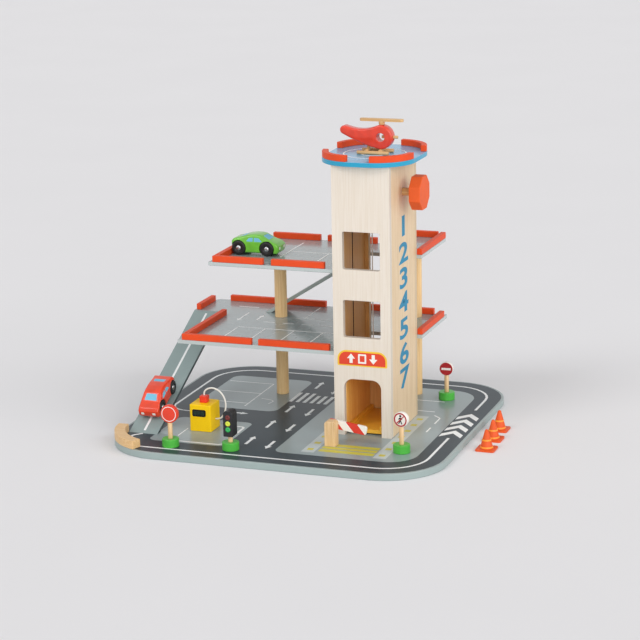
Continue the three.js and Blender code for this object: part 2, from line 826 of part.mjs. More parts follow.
function carBody() {
  const tail = -wheelBase / 2 - rearOverhang;
  const inset = 2 * carEdge;
  const side = polygon(carSideShares.map(([along, up]) => [
    tail + carEdge + along * (carLength - inset),
    carGroundClearance + carEdge + up * (carBodyHeight - inset),
  ]));
  const shaped = new THREE.ExtrudeGeometry(side, {
    depth: carBodyWidth - inset,
    bevelEnabled: true,
    bevelSize: carEdge,
    bevelThickness: carEdge,
    bevelSegments: 2,
  });
  shaped.rotateX(Math.PI / 2).translate(0, carBodyWidth / 2 - carEdge, 0);
  const wellRadius = wheelRadius + wheelWellGap;
  const wellDepth = wheelWidth + wheelWellGap;
  const cutters = [];
  for (const x of [-wheelBase / 2, wheelBase / 2]) {
    cutters.push(rodY(wellRadius, -carTrack / 2 - cutOverrun, wellDepth + cutOverrun, x, wheelRadius));
    cutters.push(rodY(wellRadius, carTrack / 2 - wellDepth, wellDepth + cutOverrun, x, wheelRadius));
    cutters.push(rodY(axleRadius + turningClearance, -carTrack / 2, carTrack, x, wheelRadius, smallSides));
  }
  return cut(shaped, ...cutters);
}

function wheelPair(x) {
  const parts = [rodY(axleRadius, -carTrack / 2, carTrack, x, wheelRadius, smallSides)];
  for (const front of [-carTrack / 2, carTrack / 2 - wheelWidth]) {
    parts.push(rodY(wheelRadius, front, wheelWidth, x, wheelRadius));
    parts.push(rodY(hubRadius, front - hubReach, wheelWidth + 2 * hubReach, x, wheelRadius, smallSides));
  }
  return join(...parts);
}

function makeCar(name, finish, place) {
  const car = new THREE.Group();
  car.applyMatrix4(place);
  addPiece(`${name}_body`, carBody(), finish, car);
  addPiece(`${name}_rear_wheels`, wheelPair(-wheelBase / 2), 'blackPaint', car);
  addPiece(`${name}_front_wheels`, wheelPair(wheelBase / 2), 'blackPaint', car);
  garage.add(car);
}

function makeCars() {
  const onDeck = new THREE.Matrix4();
  onDeck.makeTranslation(upperDeckLeft + greenCarInset, towerY + greenCarShift, upperLevel + seatGap);
  makeCar('green_car', 'carGreen', onDeck);
  const angle = Math.atan2(lowerDeckTop, lowerRampRun);
  const downhill = new THREE.Vector3(0, -Math.cos(angle), -Math.sin(angle));
  const across = new THREE.Vector3(1, 0, 0);
  const upward = new THREE.Vector3(0, -Math.sin(angle), Math.cos(angle));
  const onRamp = new THREE.Matrix4().makeBasis(downhill, across, upward);
  onRamp.setPosition(
    landingLeft + laneWidth / 2,
    lowerLandingFront - lowerRampRun + redCarRunShare * lowerRampRun - seatGap * Math.sin(angle),
    boardTop + redCarRunShare * lowerDeckTop + seatGap * Math.cos(angle),
  );
  makeCar('red_car', 'carRed', onRamp);
}

// Helicopter: a flat teardrop body on two skids, with a rotor that spins on a pin.
// It is drawn with its nose along +X and stands on the middle of the helipad.

function helicopterOutline() {
  const centreX = helicopterLength / 2 - cockpitRadius;
  const centreZ = bellyHeight + cockpitRadius;
  const tailX = -helicopterLength / 2 + tailRadius;
  const tailZ = centreZ + tailLift;
  const lowStart = THREE.MathUtils.degToRad(-110);
  const highEnd = THREE.MathUtils.degToRad(105);
  const tailTop = THREE.MathUtils.degToRad(80);
  const tailLow = THREE.MathUtils.degToRad(250);
  const inner = cockpitRadius - helicopterEdge;
  const innerTail = tailRadius - helicopterEdge;
  const outline = new THREE.Shape();
  outline.absarc(centreX, centreZ, inner, lowStart, highEnd, false);
  outline.quadraticCurveTo(
    (centreX + tailX) / 2, centreZ + innerTail,
    tailX + innerTail * Math.cos(tailTop), tailZ + innerTail * Math.sin(tailTop),
  );
  outline.absarc(tailX, tailZ, innerTail, tailTop, tailLow, false);
  outline.quadraticCurveTo(
    (centreX + tailX) / 2, centreZ - cockpitRadius / 2,
    centreX + inner * Math.cos(lowStart), centreZ + inner * Math.sin(lowStart),
  );
  return { outline, centreX, centreZ };
}

function makeHelicopter() {
  const { outline, centreX, centreZ } = helicopterOutline();
  const body = new THREE.ExtrudeGeometry(outline, {
    depth: helicopterWidth - 2 * helicopterEdge,
    bevelEnabled: true,
    bevelSize: helicopterEdge,
    bevelThickness: helicopterEdge,
    bevelSegments: 2,
    curveSegments: cornerSteps + cornerSteps,
  });
  body.rotateX(Math.PI / 2).translate(0, helicopterWidth / 2 - helicopterEdge, 0);
  const parts = [rodX(nosePinRadius, centreX, cockpitRadius + nosePinReach, 0, centreZ, smallSides)];
  for (const side of [-skidSpread / 2, skidSpread / 2]) {
    const skidBack = centreX - skidLength / 2 - skidPegSpread / 2;
    parts.push(rodX(skidRadius, skidBack, skidLength, side, skidRadius, smallSides));
  }
  for (const shift of [-skidPegSpread, 0]) {
    const x = centreX + shift;
    const barZ = skidRadius + skidPegRadius;
    parts.push(rodY(skidPegRadius, -skidSpread / 2, skidSpread, x, barZ, smallSides));
    parts.push(rodZ(skidPegRadius, skidRadius, 2 * bellyHeight, x, 0, smallSides));
  }
  const rotorZ = centreZ + cockpitRadius;
  const hole = rodY(cockpitHoleRadius, -helicopterWidth, 2 * helicopterWidth, centreX, centreZ);
  const mastBottom = rotorZ - mastSocketDepth;
  const socket = rodZ(mastRadius + turningClearance, mastBottom, 2 * mastSocketDepth, centreX);
  const stand = new THREE.Matrix4().makeTranslation(towerX - centreX / 2, helipadY, helipadTop);
  const whole = cut(join(body, ...parts), hole, socket).applyMatrix4(stand);
  addPiece('helicopter_body', whole, 'redPaint');
  const half = rotorWidth / 2;
  const blade = slab(
    roundedOutline(-rotorLength / 2, -half, rotorLength / 2, half, half),
    rotorZ + seatGap + hubBlockHeight, rotorThickness,
  );
  blade.translate(centreX, 0, 0);
  const rotor = join(
    blade,
    rodZ(hubBlockRadius, rotorZ + seatGap, hubBlockHeight, centreX, 0, smallSides),
    rodZ(mastRadius, mastBottom + seatGap + cutOverrun, mastSocketDepth, centreX, 0, smallSides),
  );
  addPiece('helicopter_rotor', rotor.applyMatrix4(stand), 'beech');
}

makeBoard();
makeLowerDeck();
makeUpperDeck();
makeRamps();
makePosts();
makeLowerRails();
makeUpperRails();
makeFrontPanel();
makeRearPanel();
makeSidePanels();
makeHelipad();
makeWinch();
makeCabin();
makePump();
makeSigns();
makeTrafficLight();
makeBarrier();
makeCones();
makeCars();
makeHelicopter();

export default garage;
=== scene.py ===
import json
import math

import bmesh
import bpy
from mathutils import Matrix, Vector

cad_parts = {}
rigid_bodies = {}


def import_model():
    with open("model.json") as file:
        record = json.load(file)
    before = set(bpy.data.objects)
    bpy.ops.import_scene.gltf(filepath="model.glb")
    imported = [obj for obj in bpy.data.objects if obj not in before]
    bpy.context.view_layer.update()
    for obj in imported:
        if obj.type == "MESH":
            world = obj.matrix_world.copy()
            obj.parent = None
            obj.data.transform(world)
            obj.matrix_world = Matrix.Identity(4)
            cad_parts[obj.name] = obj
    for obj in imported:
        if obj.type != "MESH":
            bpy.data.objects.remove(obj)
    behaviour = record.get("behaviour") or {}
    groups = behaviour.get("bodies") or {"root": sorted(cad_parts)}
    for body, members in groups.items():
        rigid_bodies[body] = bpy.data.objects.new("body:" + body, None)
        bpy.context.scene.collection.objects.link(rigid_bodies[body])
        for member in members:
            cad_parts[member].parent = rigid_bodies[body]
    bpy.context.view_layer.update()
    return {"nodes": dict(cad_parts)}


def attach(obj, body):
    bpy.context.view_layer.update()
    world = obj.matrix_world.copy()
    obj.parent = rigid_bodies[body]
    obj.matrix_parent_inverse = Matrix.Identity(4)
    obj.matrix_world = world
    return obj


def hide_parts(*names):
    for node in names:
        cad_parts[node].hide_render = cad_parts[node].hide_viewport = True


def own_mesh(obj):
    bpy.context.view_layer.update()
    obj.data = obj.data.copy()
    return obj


for spare in list(bpy.data.objects):
    bpy.data.objects.remove(spare)
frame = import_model()
nodes = frame["nodes"]
MM = 0.001

# Camera. It stands above the roof, in front of the garage and to the right, far back with
# a long lens, so that the walls stay almost upright.

camera_place = (0.923507, -2.525350, 0.823514)
camera_yaw, camera_pitch, camera_roll = 0.34696174, -0.24879512, -0.01820823
camera_lens = 118.07


def placed(name, data):
    """a new object in the scene, from its mesh, curve, camera or lamp"""
    made = bpy.data.objects.new(name, data)
    bpy.context.scene.collection.objects.link(made)
    return made


sight = Vector((
    -math.sin(camera_yaw) * math.cos(camera_pitch),
    math.cos(camera_yaw) * math.cos(camera_pitch),
    math.sin(camera_pitch),
))
level = sight.cross(Vector((0, 0, 1))).normalized()
upright = level.cross(sight)
turned_right = math.cos(camera_roll) * level + math.sin(camera_roll) * upright
turned_up = math.cos(camera_roll) * upright - math.sin(camera_roll) * level
camera = placed("camera", bpy.data.cameras.new("camera"))
camera.data.lens = camera_lens
camera.data.sensor_width = 36
camera.data.clip_start, camera.data.clip_end = 0.05, 60
camera.matrix_world = (
    Matrix.Translation(camera_place)
    @ Matrix((turned_right, turned_up, -sight)).transposed().to_4x4()
)
bpy.context.scene.camera = camera
bpy.context.scene.view_settings.view_transform = "Standard"

# Cords. The petrol pump's hose is a soft white twisted cord, glued into the red cap and
# into the side of the pump. The lift hangs on a thinner cord of the same kind, which is
# wound on the wooden drum at the top of the tower.

HOSE_START = Vector((-118.3, -95, 9))
HOSE_POINTS = [
    (0, 0, 45.3), (0, 0, 48.2), (1.5, 0, 51.6), (5.7, 0, 54.6), (11.9, 0, 55.9), (18.9, 0, 54),
    (24.7, 0, 49.4), (28.5, 0, 43), (30.1, 0, 35.6), (29.4, 0, 28), (26.9, 0, 21.2),
    (22.9, 0, 16.4), (18, 0, 14.6), (15.3, 0, 14.5),
]
HOSE_RADIUS, HOSE_TWIST = 1.1, 5.0
CORD_RADIUS, CORD_TWIST, TWIST_STEPS = 0.75, 4.0, 8
LIFT_X, DRUM_Y, DRUM_Z = 92.5, -14.0, 322.0
LIFT_CORD_Y, LIFT_CORD_FOOT = -25.05, 88.3
DRUM_LAY_RADIUS, DRUM_TURNS, DRUM_TURN_STEPS = 11.05, 7, 40


def linear(code, shade=1.0):
    """an sRGB hex colour, made darker or lighter by shade, as the linear colour that a shader takes"""
    shares = [int(code[at:at + 2], 16) / 255 for at in (1, 3, 5)]
    flat = [s / 12.92 if s <= 0.04045 else ((s + 0.055) / 1.055) ** 2.4 for s in shares]
    return [min(1.0, s * shade) for s in flat] + [1.0]


def add(tree, kind, settings=(), sockets=()):
    """a shader node of that kind, with its settings, and its sockets' values or links"""
    made = tree.nodes.new("ShaderNode" + kind)
    for name, value in dict(settings).items():
        setattr(made, name, value)
    for name, value in dict(sockets).items():
        if isinstance(value, bpy.types.NodeSocket):
            tree.links.new(value, made.inputs[name])
        else:
            made.inputs[name].default_value = value
    return made


def noise(tree, place, scale, detail, **more):
    """a cloudy pattern from 0 to 1, with finer spots for a larger scale"""
    sockets = {"Vector": place, "Scale": scale, "Detail": detail, **more}
    return add(tree, "TexNoise", {}, sockets).outputs[0]


def spread(tree, value, low, high, least=0.0, most=1.0):
    """a value's stretch from low to high, laid out from least to most"""
    return add(tree, "MapRange", {}, {0: value, 1: low, 2: high, 3: least, 4: most}).outputs[0]


def blend(tree, share, first, second, **settings):
    """a colour that turns from the first into the second as the share goes from 0 to 1"""
    settings = {"data_type": "RGBA", **settings}
    return add(tree, "Mix", settings, {0: share, 6: first, 7: second}).outputs[2]


def shaded(tree, share, code, darker, paler):
    """the colour of that code, from a darker to a paler shade of it as the share goes from 0 to 1"""
    return blend(tree, share, linear(code, darker), linear(code, paler))


def reckon(tree, operation, *values):
    """one step of arithmetic on values and other nodes' results"""
    return add(tree, "Math", {"operation": operation}, dict(enumerate(values))).outputs[0]


def material(name):
    """a new material, its tree without nodes, and the place on the piece that patterns follow"""
    made = bpy.data.materials.new(name)
    made.use_nodes = True
    made.node_tree.nodes.clear()
    return made, made.node_tree, add(made.node_tree, "TexCoord").outputs["Object"]


def coated(made, tree, colour, sockets, relief=None, strength=0.0, depth=0.0, dull=None):
    """the material with its one shader. A pattern given as relief makes the surface fall and rise,
    and dull is then the roughness in its hollows and on its tops"""
    sockets = {"Base Color": colour, **sockets}
    if dull:
        sockets["Roughness"] = spread(tree, relief, 0.0, 1.0, *dull)
    if relief is not None:
        bump = add(tree, "Bump", {}, {"Strength": strength, "Distance": depth, "Height": relief})
        sockets["Normal"] = bump.outputs[0]
    shader = add(tree, "BsdfPrincipled", {}, sockets)
    add(tree, "OutputMaterial", {}, {"Surface": shader.outputs["BSDF"]})
    return made


def spun_cotton(name, code, fibre=0.5):
    """twisted cotton cord: matt, with a soft sheen and with lighter and darker loose fibres"""
    made, tree, place = material(name)
    fibres = noise(tree, place, 1000 / fibre, 4.0, Roughness=0.7)
    return coated(made, tree, shaded(tree, fibres, code, 0.86, 1.04), {
        "Roughness": 0.75, "Sheen Weight": 0.35, "Sheen Roughness": 0.4,
    }, fibres, 0.35, 0.0002)


def flowing(points, steps=8):
    """a smooth line through the points, in steps between each two"""
    held = [2 * points[0] - points[1], *points, 2 * points[-1] - points[-2]]
    line = []
    for a, b, c, d in zip(held, held[1:], held[2:], held[3:]):
        for step in range(steps):
            t = step / steps
            line.append(0.5 * (
                2 * b + (c - a) * t + (2 * a - 5 * b + 4 * c - d) * t ** 2
                + (3 * b - a - 3 * c + d) * t ** 3
            ))
    return line + [points[-1]]


def twisted_cord(line, radius, twist, strands=3, sides=18, groove=0.16):
    """the mesh of a cord of twisted strands along a line, in metres, with closed ends"""
    mesh = bmesh.new()
    across = Vector((0, 1, 0)) if abs((line[1] - line[0]).normalized().y) < 0.9 else Vector((1, 0, 0))
    walked, rings = 0.0, []
    for at, here in enumerate(line):
        along = (line[min(at + 1, len(line) - 1)] - line[max(at - 1, 0)]).normalized()
        across = (across - along * across.dot(along)).normalized()
        upward = along.cross(across)
        walked += (here - line[at - 1]).length if at else 0.0
        ring = []
        for side in range(sides):
            angle = math.tau * side / sides
            hollow = abs(math.cos(strands / 2 * angle - math.pi * strands * walked / twist))
            reach = radius * (1 - groove * (1 - hollow) ** 2)
            spot = here + reach * (math.cos(angle) * across + math.sin(angle) * upward)
            ring.append(mesh.verts.new(spot * MM))
        rings.append(ring)
    skin(mesh, rings)
    return meshed(mesh)


def skin(mesh, rings):
    """faces from each ring of corners to the next, and one across each end"""
    for here, after in zip(rings, rings[1:]):
        for at in range(len(here)):
            mesh.faces.new((here[at - 1], here[at], after[at], after[at - 1]))
    mesh.faces.new(rings[0])
    mesh.faces.new(rings[-1])


def meshed(mesh):
    """a finished mesh from its working form, with its faces turned outward"""
    bmesh.ops.recalc_face_normals(mesh, faces=mesh.faces)
    made = bpy.data.meshes.new("mesh")
    mesh.to_mesh(made)
    mesh.free()
    made.polygons.foreach_set("use_smooth", [True] * len(made.polygons))
    return made


def piece(name, made, finish, body, replaces=(), place=None):
    """a mesh or curve as a piece of the toy: it gets its finish and rides on its body"""
    made.name = name
    shown = placed(name, made)
    made.materials.append(finish)
    if place is not None:
        shown.matrix_world = place
    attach(shown, body)
    if replaces:
        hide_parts(*replaces)
    return shown


white_cotton = spun_cotton("white_cotton_cord", "#EDEAE2")
hose_line = flowing([HOSE_START + Vector(point) for point in HOSE_POINTS])
hose = piece(
    "pump_hose_cord", twisted_cord(hose_line, HOSE_RADIUS, HOSE_TWIST), white_cotton,
    "pump", ["pump_hose"],
)
cord_rise = DRUM_Z - LIFT_CORD_FOOT
cord_steps = round(cord_rise / CORD_TWIST * TWIST_STEPS)
cord_line = [
    Vector((LIFT_X, LIFT_CORD_Y, LIFT_CORD_FOOT + cord_rise * step / cord_steps))
    for step in range(cord_steps + 1)
]
lift_cord = piece(
    "lift_hanging_cord", twisted_cord(cord_line, CORD_RADIUS, CORD_TWIST), white_cotton,
    "garage", ["lift_cord"],
)
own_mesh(lift_cord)
lay_steps = DRUM_TURNS * DRUM_TURN_STEPS
lay_line = []
for step in range(lay_steps + 1):
    turn = math.tau * step * DRUM_TURNS / lay_steps
    lay_line.append(Vector((
        LIFT_X + (step / lay_steps - 0.5) * 2 * CORD_RADIUS * DRUM_TURNS,
        DRUM_Y - DRUM_LAY_RADIUS * math.cos(turn), DRUM_Z + DRUM_LAY_RADIUS * math.sin(turn),
    )))
piece(
    "drum_cord_turns", twisted_cord(lay_line, CORD_RADIUS, CORD_TWIST, sides=10), white_cotton,
    "winch",
)

# Studio. A pale matt floor, an even sky and three broad lamps at a plain level: the key in
# front on the left, a low one in front that lights the posts, and the fill on the right.

FLOOR_HALF = 15.0
BACKDROP = "#ECEBED"
floor_paint, tree, place = material("matt_pale_floor")
floor_cloud = noise(tree, place, 3.0, 2.0)
floor_colour = shaded(tree, floor_cloud, BACKDROP, 0.985, 1.015)
coated(floor_paint, tree, floor_colour, {"Roughness": 0.9, "Specular IOR Level": 0.1})
floor_mesh = bmesh.new()
corners = [(-1, -1), (1, -1), (1, 1), (-1, 1)]
floor_mesh.faces.new([floor_mesh.verts.new((x * FLOOR_HALF, y * FLOOR_HALF, 0)) for x, y in corners])
floor = placed("floor", meshed(floor_mesh))
floor.data.materials.append(floor_paint)

world = bpy.data.worlds.new("studio")
bpy.context.scene.world = world
world.use_nodes = True
tree = world.node_tree
tree.nodes.clear()
rays = add(tree, "LightPath").outputs
seen = reckon(tree, "MAXIMUM", rays["Is Camera Ray"], rays["Is Transmission Ray"])
mirrored = reckon(tree, "MAXIMUM", seen, rays["Is Glossy Ray"])
light = add(tree, "Background", {}, {"Color": linear("#FFFFFF"), "Strength": 0.5})
backdrop = add(tree, "Background", {}, {"Color": linear(BACKDROP), "Strength": 1.0})
sky = add(tree, "MixShader", {}, {0: mirrored, 1: light.outputs[0], 2: backdrop.outputs[0]})
add(tree, "OutputWorld", {}, {"Surface": sky.outputs[0]})
LAMPS = [
    ("key_lamp", (-0.4, -0.62, 0.67), 0.72, 24), ("low_front_lamp", (0.42, -0.87, 0.26), 1.0, 40),
    ("fill_lamp", (0.88, -0.25, 0.42), 1.15, 50),
]
for name, towards, strength, wide in LAMPS:
    lamp = placed(name, bpy.data.lights.new(name, "SUN"))
    lamp.data.energy = strength
    lamp.data.angle = math.radians(wide)
    lamp.rotation_mode = "QUATERNION"
    lamp.rotation_quaternion = Vector(towards).to_track_quat("Z", "Y")

# Base board. A sheet of medium-density fibreboard with rounded corners, sprayed pale
# grey-green all over. The roads, islands and lines are screen printed on top in flat
# inks and sealed with a thin clear varnish, so near pieces mirror faintly in it.

BOARD_TOP = 9.0
ROAD_REACH_X, ROAD_REACH_Y, ROAD_CORNER = 219.5, 208.5, 74.5
ROAD_LIFT, ISLAND_LIFT, STRIP_LIFT, LINE_LIFT, YELLOW_LIFT, BAND_LIFT = 0.06, 0.10, 0.13, 0.16, 0.18, 0.21
INK_DEPTH = 0.3
WELD_REACH, FLAT_ANGLE = 1e-5, 1
LANE_LINE, THIN_LINE, NARROW_LINE = 3.4, 2.0, 1.6
ISLANDS = [
    (-175, 0, -56, 155, 14), (-171, -162, -65, -56, 10), (3, -164, 184, 165, (12, 37, 37, 12)),
]
STRIP_LEFTS, STRIP_WIDTH, STRIP_FRONT, STRIP_BACK = (36.5, 132), 17, -153, 37
LANE_LINES = [
    [(-188, -139.5), (-198, -150, 6), (-190, -191, 16), (-150, -191, 30), (200, -190, 55), (200, -47)],
    [(200, 82), (200, 188, 55), (-200, 188, 55), (-200, -27, 24), (-130, -27)],
    [(-135, -156), (-70, -156, 6), (-70, -76, 6), (-84, -76)],
]
BAY_LINES = [
    [(-172, 28), (-107, 28)], [(-172, 77), (-107, 77)], [(-172, 126), (-107, 126)],
    [(-106, 15), (-106, 127)], [(-97, 55), (-75, 50, 8), (-79, 34)], [(100, 60), (150, 60)],
    [(100, 108), (150, 108)], [(165, -30), (165, -10)], [(165, 8), (165, 34, 8), (154, 44)],
]
RAMP_BAY_LINE = [(-140, -135), (-140, -101)]
# Each row of arrows has its x, an arrow's length, below zero where it points to the front,
# and the places of the tips. The zebra's bars go by the middles of those that end alike.
LANE_ARROWS = [(-42, 34, (155, 37, -36, -110)), (-10.5, -33, (-7, -80, -155, 100))]
ZEBRA_BARS, ZEBRA_FRONT, ZEBRA_HALF = [((-54, -44, -34), 97), ((-24, -14, -4), 88)], 52, 2.5
CHEVRON_COUNT, CHEVRON_PITCH, CHEVRON_APEX = 4, 25.7, (200, 64)
CHEVRON_HALF, CHEVRON_RISE, CHEVRON_THICK = 14.5, 17.0, 13.0
SQUARE_COLUMNS, SQUARE_ROWS, SQUARE_HALF = (45, 140.5), range(-140, 30, 27), 4
YELLOW_BAND, BAND_GAPS, BAND_GAP_WIDTH = (57, -146, 130, -112), (-136, -124.5), 2.6


def painted(
    name, code, roughness=0.38, varnish=0.15, edge=None, cloud=60.0, grit=1.2, peel=0.12, ior=1.38,
):
    """sprayed paint or ink on board or wood: a faint cloud in the colour, fine specks and peel
    under a thin varnish. Where edge is given, the upright faces take that colour"""
    made, tree, place = material(name)
    clouds = noise(tree, place, 1000 / cloud, 3.0, Roughness=0.55)
    specks = noise(tree, place, 1000 / grit, 2.0, Roughness=0.6)
    share = spread(tree, reckon(tree, "MULTIPLY_ADD", specks, 0.5, clouds), 0.5, 1.0)
    colour = shaded(tree, share, code, 0.93, 1.07)
    if edge:
        normal = add(tree, "NewGeometry").outputs["Normal"]
        upward = add(tree, "SeparateXYZ", {}, {0: normal}).outputs[2]
        flat = spread(tree, reckon(tree, "ABSOLUTE", upward), 0.35, 0.75)
        colour = blend(tree, flat, linear(edge), colour)
    return coated(made, tree, colour, {
        "Roughness": spread(tree, clouds, 0.0, 1.0, roughness - 0.05, roughness + 0.07),
        "IOR": ior, "Coat Weight": varnish, "Coat Roughness": 0.07,
    }, specks, peel, 0.0001)


def dress(names, finish, rounding=0.6, steps=2):
    """a finish on pieces whose solid is right as it is, with their sharp edges eased"""
    for name in names:
        shown = nodes[name]
        for attribute in ("custom_normal", "sharp_edge", "sharp_face"):
            if attribute in shown.data.attributes:
                shown.data.attributes.remove(shown.data.attributes[attribute])
        shown.data.polygons.foreach_set("use_smooth", [True] * len(shown.data.polygons))
        shown.data.materials.clear()
        shown.data.materials.append(finish)
        weld = shown.modifiers.new("weld", "WELD")
        weld.merge_threshold = WELD_REACH
        flat = shown.modifiers.new("flat", "DECIMATE")
        flat.decimate_type = "DISSOLVE"
        flat.angle_limit = math.radians(FLAT_ANGLE)
        ease(shown, rounding, steps)


def ease(shown, rounding, steps=2, sharp=35):
    """sanded edges: every edge sharper than that angle is rounded"""
    rounded = shown.modifiers.new("eased_edges", "BEVEL")
    rounded.width = rounding * MM
    rounded.segments = steps
    rounded.limit_method = "ANGLE"
    rounded.angle_limit = math.radians(sharp)
    rounded.harden_normals = True


def bent(corners, radius, closed=True, steps=8):
    """a line through the corners, each rounded to that radius, or to its own from a list"""
    radii = radius if hasattr(radius, "__len__") else [radius] * len(corners)
    line = []
    for at, corner in enumerate(corners):
        here = Vector(corner)
        if not radii[at] or (not closed and at in (0, len(corners) - 1)):
            line.append(here)
            continue
        back = (Vector(corners[at - 1]) - here).normalized()
        ahead = (Vector(corners[(at + 1) % len(corners)]) - here).normalized()
        half = back.angle(ahead) / 2
        centre = here + (back + ahead).normalized() * radii[at] / math.sin(half)
        start = here + back * radii[at] / math.tan(half) - centre
        turn = math.copysign(math.pi - 2 * half, ahead.x * back.y - ahead.y * back.x)
        line += [centre + Matrix.Rotation(turn * step / steps, 2) @ start for step in range(steps + 1)]
    return line


def oblong(left, front, right, back, radius=0):
    """a rectangle's outline, its corners rounded from front left, the way a clock doesn't turn"""
    return bent([(left, front), (right, front), (right, back), (left, back)], radius)


def ribbon(line, width, closed=False):
    """the outline of a painted line of that width: one loop, or two where it closes"""
    points = [Vector(point) for point in line]
    left, right = [], []
    for at, here in enumerate(points):
        before = points[at - 1] if closed or at else here
        after = points[(at + 1) % len(points)] if closed or at < len(points) - 1 else here
        along = (after - before).normalized()
        out = Vector((-along.y, along.x)) * width / 2
        left.append(here + out)
        right.append(here - out)
    return [left, right] if closed else [left + right[::-1]]


def strokes(lines, width):
    """the outlines of painted lines of that width. A line is given by its corners, and a third
    number with a corner rounds it to that radius"""
    outlines = []
    for line in lines:
        radii = [(*corner, 0)[2] for corner in line]
        outlines += ribbon(bent([corner[:2] for corner in line], radii, closed=False), width)
    return outlines


def arrow(tail, tip, shaft=4.0, head=9.5, reach=10.0):
    """the outline of a straight road arrow"""
    tail, tip = Vector(tail), Vector(tip)
    along = (tip - tail).normalized()
    out = Vector((-along.y, along.x))
    neck = tip - along * reach
    return [
        tail + out * shaft / 2, tail - out * shaft / 2, neck - out * shaft / 2,
        neck - out * head / 2, tip, neck + out * head / 2, neck + out * shaft / 2,
    ]


def arc(centre, radius, start, end, steps):
    """a stretch of a circle between two angles in degrees"""
    angles = [math.radians(start + (end - start) * step / steps) for step in range(steps + 1)]
    return [Vector(centre) + radius * Vector((math.cos(a), math.sin(a))) for a in angles]


def ring(centre, radius, steps=48):
    """a circle's outline"""
    return arc(centre, radius, 0, 360, steps)[:-1]


def printed(name, loops, surface, lift, ink, body, place=None):
    """flat marks of one ink: a loop inside another is a gap. They stand proud of the surface by lift"""
    mark = bpy.data.curves.new(name, "CURVE")
    mark.dimensions = "2D"
    mark.fill_mode = "BOTH"
    mark.extrude = (INK_DEPTH + lift) / 2 * MM
    for loop in loops:
        line = mark.splines.new("POLY")
        line.points.add(len(loop) - 1)
        for point, (x, y) in zip(line.points, loop):
            point.co = (x * MM, y * MM, 0, 1)
        line.use_cyclic_u = True
    height = Matrix.Translation((0, 0, (surface + (lift - INK_DEPTH) / 2) * MM))
    return piece(name, mark, ink, body, place=height if place is None else place @ height)


board_paint = painted("grey_green_board_paint", "#9DAAA9", edge="#9AA9A7")
road_ink = painted("dark_road_ink", "#3A454B", roughness=0.35, varnish=0.03, ior=1.24)
island_ink = painted("grey_island_ink", "#93A1A3", roughness=0.3, varnish=0.2, ior=1.4)
strip_ink = painted("pale_strip_ink", "#BFC8C8")
line_ink = painted("white_line_ink", "#F2F4F4")
yellow_ink = painted("olive_yellow_ink", "#C9C148")
dress(["base_board"], board_paint, 1.2, 3)

road = [oblong(-ROAD_REACH_X, -ROAD_REACH_Y, ROAD_REACH_X, ROAD_REACH_Y, ROAD_CORNER)]
islands = [oblong(*island) for island in ISLANDS]
strips = [oblong(left, STRIP_FRONT, left + STRIP_WIDTH, STRIP_BACK) for left in STRIP_LEFTS]
lines = strokes(LANE_LINES, LANE_LINE) + strokes(BAY_LINES, THIN_LINE)
lines += strokes([RAMP_BAY_LINE], NARROW_LINE)
lines.append(arrow((-122, -18), (-88, -18)))
for x, length, tips in LANE_ARROWS:
    lines += [arrow((x, tip - length), (x, tip)) for tip in tips]
for middles, back in ZEBRA_BARS:
    lines += [oblong(x - ZEBRA_HALF, ZEBRA_FRONT, x + ZEBRA_HALF, back) for x in middles]
wing = [(-CHEVRON_HALF, -CHEVRON_RISE), (0, 0), (CHEVRON_HALF, -CHEVRON_RISE)]
wing += [(across, down - CHEVRON_THICK) for across, down in reversed(wing)]
for index in range(CHEVRON_COUNT):
    apex = Vector(CHEVRON_APEX) - Vector((0, index * CHEVRON_PITCH))
    lines.append([apex + Vector(corner) for corner in wing])
squares = [
    oblong(x - SQUARE_HALF, y - SQUARE_HALF, x + SQUARE_HALF, y + SQUARE_HALF)
    for x in SQUARE_COLUMNS for y in SQUARE_ROWS
]
squares.append(oblong(*YELLOW_BAND))
gaps = [oblong(YELLOW_BAND[0], y, YELLOW_BAND[2], y + BAND_GAP_WIDTH) for y in BAND_GAPS]
for name, loops, lift, ink, slot in (
    ("road_print", road, ROAD_LIFT, road_ink, "board_paint"),
    ("island_print", islands, ISLAND_LIFT, island_ink, "board_paint"),
    ("strip_print", strips, STRIP_LIFT, strip_ink, "board_paint"),
    ("white_line_print", lines, LINE_LIFT, line_ink, "white_paint"),
    ("yellow_print", squares, YELLOW_LIFT, yellow_ink, "yellow_paint"),
    ("band_line_print", gaps, BAND_LIFT, island_ink, "board_paint"),
):
    printed(name, loops, BOARD_TOP, lift, ink, "garage")

# Decks and ramps. Five-millimetre fibreboard in the same grey-green paint, paler on their
# upright edges, fitted round the tower and on the posts. The two ramps are thinner strips,
# the lower one darker on its upright edges and the upper one paler there, a painted light on its shaded
# side.

LOWER_DECK_TOP, UPPER_DECK_TOP = 119.0, 227.0
LOWER_LINES = [
    [(-113, 18), (53, 18)], [(-54, 83), (53, 83)], [(-42, 84.5), (-42, 148)], [(-155, 126), (-125, 126)],
    *([(x, -58), (x, 16)] for x in (-113, -74, -33, 8, 49)),
    *([(x, 52), (x + 16, 52)] for x in (-90, -62.5, -35, -7.5, 20)),
]
UPPER_LINES = [[(-38, -15), (-38, 75)], [(-36.5, 20), (53, 20)], [(18, -30), (18, 18.5)]]
UPPER_EDGE_LINE, DECK_ARROW = (84, 60, 85.5, 140), (2.4, 8, 9)
RAMP_LINE, RAMP_MARGIN = 3.0, 6.0
RAMP_RUNS = [
    ("lower_ramp_print", (-188, -139, BOARD_TOP), (-188, 89.7, LOWER_DECK_TOP)),
    ("upper_ramp_print", (-107, 123, LOWER_DECK_TOP), (64.7, 123, UPPER_DECK_TOP)),
]
deck_paint = painted(
    "grey_deck_paint", "#98A5A6", roughness=0.26, varnish=0.4, edge="#B9C2C1", peel=0.05, ior=1.45,
)
ramp_paint = painted("grey_ramp_paint", "#8FA09F", roughness=0.35, edge="#39474A")
